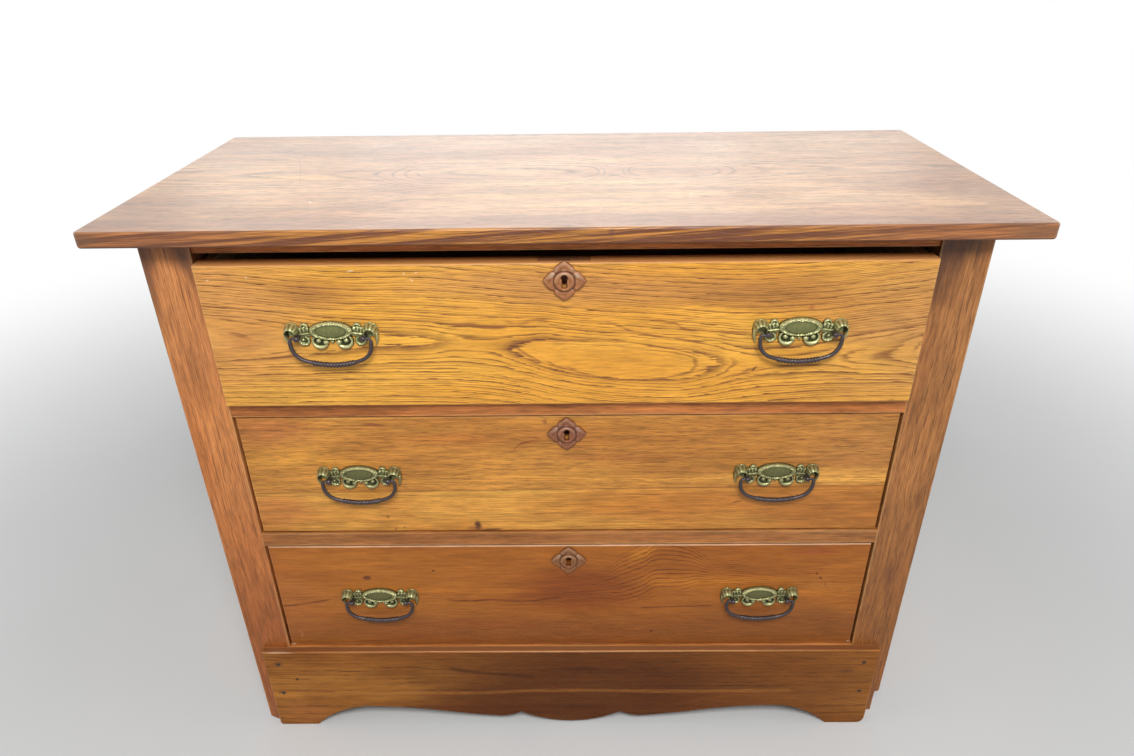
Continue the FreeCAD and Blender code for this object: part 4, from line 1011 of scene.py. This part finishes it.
def add_hood(shape, sign):
    """A hollow ribbed shell over the end of the bail, open below, with painted shade on its inner face."""
    turns, steps, opening = 28, 12, 0.66
    hollow = shape.verts.layers.float["hollow"]

    def shell(thinner):
        """One face of the shell, thinner than the outer one by a length in mm."""
        grid = []
        for column in range(turns + 1):
            turn = math.pi * column / turns
            flute = math.cos(turn * hood_flutes)
            ribs = 0.0 if thinner else flute_depth * flute
            aside = math.sqrt(hood_radius**2 - (hood_lift * math.cos(turn)) ** 2)
            reach = (hood_lift * math.sin(turn) + aside - hood_inset + ribs) - thinner
            line = []
            for row in range(steps + 1):
                lift = opening * math.pi / 2 * row / steps
                radial = reach * math.cos(lift) ** 0.62
                forward = (hood_depth - thinner) * math.sin(lift)
                x = hood_x + radial * math.cos(turn)
                z = hood_base + radial * math.sin(turn)
                point = shape.verts.new((sign * x * MM, -forward * MM, z * MM))
                # The inner face is marked as deep as a hollow gets: painted shade inside the hood.
                point[hollow] = 1.0 if thinner else -0.3 - 0.35 * flute * (row > 2)
                line.append(point)
            grid.append(line)
        return grid

    outer, inner = shell(0.0), shell(hood_wall)
    way = 1 if sign < 0 else -1  # one hood mirrors the other, so its faces run the other way round
    for i in range(turns):
        for j in range(steps):
            quad = [outer[i][j], outer[i + 1][j], outer[i + 1][j + 1], outer[i][j + 1]]
            back = [inner[i][j], inner[i][j + 1], inner[i + 1][j + 1], inner[i + 1][j]]
            shape.faces.new(quad[::way])
            shape.faces.new(back[::way])
        for j in (0, steps):
            shape.faces.new((outer[i][j], outer[i + 1][j], inner[i + 1][j], inner[i][j]))
    for i in (0, turns):
        for j in range(steps):
            shape.faces.new((outer[i][j], outer[i][j + 1], inner[i][j + 1], inner[i][j]))
    points = [point for grid in (outer, inner) for line in grid for point in line]
    bmesh.ops.remove_doubles(shape, verts=points, dist=1e-6)


plate_shape = relief(plate_cover, plate_height, *plate_grid)
for sign in (-1, 1):
    add_hood(plate_shape, sign)
bmesh.ops.recalc_face_normals(plate_shape, faces=plate_shape.faces)
plate_mesh = mesh_from("pull_plate", plate_shape)
dull_plate_mesh = plate_mesh.copy()
finished(plate_mesh, brass)
finished(dull_plate_mesh, dull_brass)
plate_meshes = {"upper": plate_mesh, "middle": dull_plate_mesh, "lower": dull_plate_mesh}


# The bail, in mm: a bar bent on arcs, with a twisted grip along its middle

bail_half_width, bail_drop, bail_forward = 47.5, 34.4, 11.0
bail_bend, bail_corner, bail_straight = 22.0, 3.0, 8.0
grip_radius, arm_radius, pin_radius = 3.25, 2.4, 1.8
grip_end, arm_start, pin_start = 22.0, 28.0, 66.0
twist_pitch, twist_depth, twist_end, twist_fade = 3.9, 0.5, 26.5, 3.0
tube_step, tube_sides = 0.8, 20


def arc_points(centre, radius, start, end, count):
    """Points on an arc, with angles in radians from +X towards +Z."""
    x, z = centre
    angles = [start + (end - start) * step / count for step in range(count)]
    return [(x + radius * math.cos(angle), z + radius * math.sin(angle)) for angle in angles]


def bail_line():
    """The right half of the bail's centre line, from the middle of the grip up to its pin."""
    half, straight, corner = bail_half_width, bail_straight, bail_corner
    bend_x = half - bail_bend
    rise = bail_drop - straight
    sweep = (bend_x**2 + rise**2 - bail_bend**2) / (2 * (rise - bail_bend))
    centre_z = sweep - bail_drop
    meet = math.atan2(-straight - centre_z, bend_x)
    line = arc_points((0, centre_z), sweep, -math.pi / 2, meet, 44)
    line += arc_points((bend_x, -straight), bail_bend, meet, 0.0, 16)
    line += [(half, -straight), (half, -corner - 2.0)]
    line += arc_points((half - corner, -corner), corner, 0.0, math.pi / 2, 8)
    return line + [(half - corner, 0.0), (half - corner - 3.0, 0.0), (36.5, 0.0), (35.5, 0.0)]


def bail_radius(length):
    """The bar's radius at a length from the middle, without the twist."""
    if length < grip_end:
        return grip_radius
    if length < arm_start:
        share = (length - grip_end) / (arm_start - grip_end)
        return grip_radius - (grip_radius - arm_radius) * share * share * (3 - 2 * share)
    return arm_radius if length < pin_start else pin_radius


def bail_shape():
    """The bail as a closed tube, hanging straight down in front of the drawer's face."""
    half = bail_line()
    corners = [(-x, z) for x, z in reversed(half[1:])] + half
    line = [corners[0]]
    for first, last in zip(corners, corners[1:]):
        count = max(1, int(math.dist(first, last) / tube_step))
        for step in range(1, count + 1):
            line.append(tuple(start + (end - start) * (step / count) for start, end in zip(first, last)))
    lengths = [0.0]
    for first, last in zip(line, line[1:]):
        lengths.append(lengths[-1] + math.dist(first, last))
    shape = bmesh.new()
    rings = []
    for i, (x, z) in enumerate(line):
        before, after = line[max(i - 1, 0)], line[min(i + 1, len(line) - 1)]
        run = Vector((after[0] - before[0], 0, after[1] - before[1])).normalized()
        outward = Vector((-run.z, 0, run.x))
        centre = Vector((x * MM, -bail_forward * MM, z * MM))
        length = lengths[i] - lengths[-1] / 2
        twist = max(0.0, min(1.0, (twist_end - abs(length)) / twist_fade))
        ring = []
        for side in range(tube_sides):
            angle = 2 * math.pi * side / tube_sides
            wave = math.cos(length * 2 * math.pi / twist_pitch + 0.35 * math.sin(angle))
            reach = (bail_radius(abs(length)) + (wave * twist_depth - 0.1) * twist) * MM
            forward = Vector((0, math.sin(angle) * reach, 0))
            ring.append(shape.verts.new(centre + outward * (math.cos(angle) * reach) + forward))
        rings.append(ring)
    for first, last in zip(rings, rings[1:]):
        for side in range(-1, tube_sides - 1):
            shape.faces.new((first[side], first[side + 1], last[side + 1], last[side]))
    shape.faces.new(rings[0][::-1])
    shape.faces.new(rings[-1])
    bmesh.ops.recalc_face_normals(shape, faces=shape.faces)
    return shape


bail_mesh = finished(mesh_from("bail", bail_shape()), bronze)

pull_x = 0.275
for level in levels:
    for side, sign in (("left", -1), ("right", 1)):
        place = (sign * pull_x, face_y[level], pull_z[level])
        plate = placed(level + "_plate_" + side, plate_meshes[level], level + "_drawer", place)
        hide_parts(level + "_pull_plates")
        bail = placed(level + "_twisted_bail_" + side, bail_mesh, level + "_bail_" + side, place)
        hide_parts(level + "_bail_" + side)


# The escutcheon, in mm: a lozenge of four petals round a boss

lozenge_half_width, lozenge_half_height = 25.25, 24.5
lozenge_swell = 1.16  # 1 would give straight edges
lozenge_inset = 17.6  # about how far it is from the middle straight to an edge
keyhole_top, keyhole_top_radius = 4.6, 3.9
keyhole_bottom, keyhole_bottom_radius = -4.9, 3.6
keyhole_half_waist = 3.1
boss_radius, ring_radius, groove_radius = 11.8, 12.4, 6.4
escutcheon_grid = (0.0256, -0.0252, 0.0252, 0.0005)  # like plate_grid


def lozenge_place(x, z):
    """How far inside the lozenge's notched rim a point is, and its turn from edge to corner."""
    across, upward = numpy.abs(x) / lozenge_half_width, numpy.abs(z) / lozenge_half_height
    out = (across**lozenge_swell + upward**lozenge_swell) ** (1 / lozenge_swell)
    turn = (across - upward) / numpy.maximum(across + upward, 1e-6)
    return (1.0 - 0.10 * bump(turn, 0.13) - out) * lozenge_inset, turn


def keyhole_gap(x, z):
    """The distance outside the keyhole's outline."""
    top = numpy.hypot(x, z - keyhole_top) - keyhole_top_radius
    bottom = numpy.hypot(x, z - keyhole_bottom) - keyhole_bottom_radius
    waist = numpy.maximum(numpy.abs(x) - keyhole_half_waist, numpy.abs(z) + keyhole_bottom)
    return numpy.minimum(numpy.minimum(top, bottom), waist)


def escutcheon_cover(x, z):
    """How far inside the escutcheon a point is, in metres."""
    x, z = x / MM, z / MM
    return numpy.minimum(lozenge_place(x, z)[0], keyhole_gap(x, z)) * MM


def escutcheon_height(x, z):
    """How far the carving stands proud at a point, in metres."""
    x, z = x / MM, z / MM
    inset, turn = lozenge_place(x, z)
    away = numpy.hypot(x, z)
    valley = bump(turn, 0.14)
    dish = bump(inset - 5.5, 2.2) * (1 - valley)
    ring = bump(away - ring_radius, 1.3) * (inset > 0)
    petals = 1.6 + pillow(inset, 5.0) * (3.4 - 1.8 * valley) - dish - ring
    boss = 3.6 + 2.9 * pillow(boss_radius - away, 4.5) - 0.6 * bump(away - groove_radius, 1.8)
    sunk = numpy.clip(1 - keyhole_gap(x, z) / 1.2, 0, 1)
    return (numpy.where(away < boss_radius, boss, petals) - 0.9 * sunk**2) * MM


def carved(name, light, middle, dark, worn):
    """Carved wood, darker in its hollows, and pale on its high places: partly rubbed wear, partly a painted
    highlight on the upper half and at the two upper notches.
    """
    material, tree, shader = new_material(name)
    x, y, z = object_place(tree)
    fibre = noise(tree, x * 800, y * 800, z * 90, 3.0, 0.6)
    cloud = noise(tree, x * 130, y * 130, z * 110, 3.0, 0.55)
    sunk = hollow_depth(tree) + (cloud - 0.5) * 0.4
    # rubbed: pale spots at the two upper notches, partly rubbed wear and partly a painted highlight
    rubbed = mark(x.size(), z, (0.0145, 0.0075), (0.0075, 0.0034), angle=-0.75)
    # painted highlight: the raised parts of the upper half are made pale, as if lit from above
    upper = sunk.ramp(0.0, -0.35) * z.ramp(-0.004, 0.008) * 0.25
    colour = blended(tree, cloud.ramp(0.3, 0.7), light, middle)
    colour = blended(tree, sunk.ramp(-0.05, 0.45) * 0.85, colour, dark)
    colour = blended(tree, fibre.ramp(0.5, 0.7) * 0.45, colour, dark)
    colour = blended(tree, (rubbed * cloud.ramp(0.3, 0.6) * 0.8).most(upper), colour, worn)
    join_all(tree, shader, {
        "Base Color": colour,
        "Roughness": cloud.ramp(0.3, 0.7, 0.4, 0.6),
        "Specular IOR Level": 0.35,
        "Coat Weight": 0.15,
    })
    bumped(tree, shader, fibre + cloud, 0.3 * MM)
    return material


carving = {
    "upper": ((168, 110, 66), (148, 90, 52), (78, 46, 30), (196, 174, 148)),
    "middle": ((144, 88, 54), (126, 74, 46), (70, 38, 26), (164, 136, 116)),
    "lower": ((140, 88, 48), (126, 78, 40), (78, 44, 26), (176, 142, 110)),
}
escutcheon_shape = relief(escutcheon_cover, escutcheon_height, *escutcheon_grid)
escutcheon_mesh = mesh_from("escutcheon", escutcheon_shape)
for level in levels:
    mesh = finished(escutcheon_mesh.copy(), carved(level + "_carving", *carving[level]), 60.0)
    place = (0, face_y[level], keyhole_z[level])
    piece = placed(level + "_carved_escutcheon", mesh, level + "_drawer", place)
    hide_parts(level + "_escutcheon")


# Floor, light and camera

floor_middle_y = 0.1
floor_clear, floor_white = 0.75, 2.6  # the floor turns white between these distances
room_light = 0.25  # the share of the white room's light that falls on the chest
lamps = {
    "key_lamp": ((0.1, -1.75, 2.35), (0, -0.1, 0.5), (1.0, 0.6), 56.0),
    "left_lamp": ((-2.6, -0.5, 1.3), (0, 0, 0.4), (1.6, 1.6), 11.0),
    "right_lamp": ((2.6, -0.5, 1.3), (0, 0, 0.4), (1.6, 1.6), 11.0),
    "back_lamp": ((-0.1, 2.8, 1.6), (0, 0, 0.9), (3.6, 1.5), 8.5),
    "back_middle_lamp": ((-0.1, 2.7, 1.6), (0, 0, 0.9), (1.8, 1.4), 3.2),
}
camera_place = (0.01188, -1.060944, 1.097189)
camera_dip, camera_turn, camera_roll = (math.radians(angle) for angle in (28.94, 0.7068, -0.7906))


def directly_seen(tree):
    """1 for rays that show a thing straight, in a mirror or through glass, and 0 for its light."""
    path = tree.nodes.new("ShaderNodeLightPath")
    names = ("Is Camera Ray", "Is Glossy Ray", "Is Transmission Ray")
    straight, mirrored, through = (Field(tree, path.outputs[name]) for name in names)
    return straight.most(mirrored).most(through)


def floor():
    """A pale floor round the chest, which runs out into plain white."""
    bpy.ops.mesh.primitive_plane_add(size=60, location=(0, 0, 0))
    plane = bpy.context.object
    plane.name = "floor"
    material, tree, shader = new_material("floor")
    surface = shader.outputs[0].links[0].to_socket
    x, y, z = object_place(tree)
    back = y - floor_middle_y
    away = (x * x + back * back).root()
    cloud = noise(tree, x * 2.2, y * 2.2, z, 4.0, 0.6)
    colour = blended(tree, cloud, (203.4, 204.9, 204.9), (212.2, 213.7, 213.7))
    join_all(tree, shader, {"Base Color": colour, "Roughness": 0.7})
    glow = tree.nodes.new("ShaderNodeEmission")
    glow.inputs["Color"].default_value = (1, 1, 1, 1)
    mixer = tree.nodes.new("ShaderNodeMixShader")
    join(tree, away.ramp(floor_clear, floor_white) * directly_seen(tree), mixer.inputs[0])
    tree.links.new(shader.outputs[0], mixer.inputs[1])
    tree.links.new(glow.outputs[0], mixer.inputs[2])
    tree.links.new(mixer.outputs[0], surface)
    plane.data.materials.append(material)


def soft_lamp(name, place, target, size, power):
    """A rectangular lamp that shines from a place towards a target."""
    lamp = bpy.data.lights.new(name, "AREA")
    lamp.shape = "RECTANGLE"
    lamp.size, lamp.size_y = size
    lamp.energy = power
    holder = bpy.data.objects.new(name, lamp)
    bpy.context.scene.collection.objects.link(holder)
    holder.location = place
    holder.visible_camera = False
    holder.rotation_euler = (Vector(target) - Vector(place)).to_track_quat("-Z", "Y").to_euler()


def white_room():
    """Light from all sides: white where it is seen or mirrored, and softer on the chest."""
    world = bpy.data.worlds.new("room")
    bpy.context.scene.world = world
    world.use_nodes = True
    tree = world.node_tree
    background = next(node for node in tree.nodes if node.type == "BACKGROUND")
    strength = directly_seen(tree) * (1 - room_light) + room_light
    join_all(tree, background, {"Color": (1, 1, 1, 1), "Strength": strength})


floor()
white_room()
for name, settings in lamps.items():
    soft_lamp(name, *settings)

camera_data = bpy.data.cameras.new("camera")
camera = bpy.data.objects.new("camera", camera_data)
bpy.context.scene.collection.objects.link(camera)
camera_data.sensor_width = 36.0
camera_data.lens = 25.181
camera_data.clip_start = 0.01
turned = Euler((math.pi / 2 - camera_dip, 0, camera_turn)).to_matrix()
turned = turned @ Matrix.Rotation(camera_roll, 3, "Z")
camera.matrix_world = Matrix.Translation(camera_place) @ turned.to_4x4()
bpy.context.scene.camera = camera
bpy.context.scene.view_settings.view_transform = "Standard"
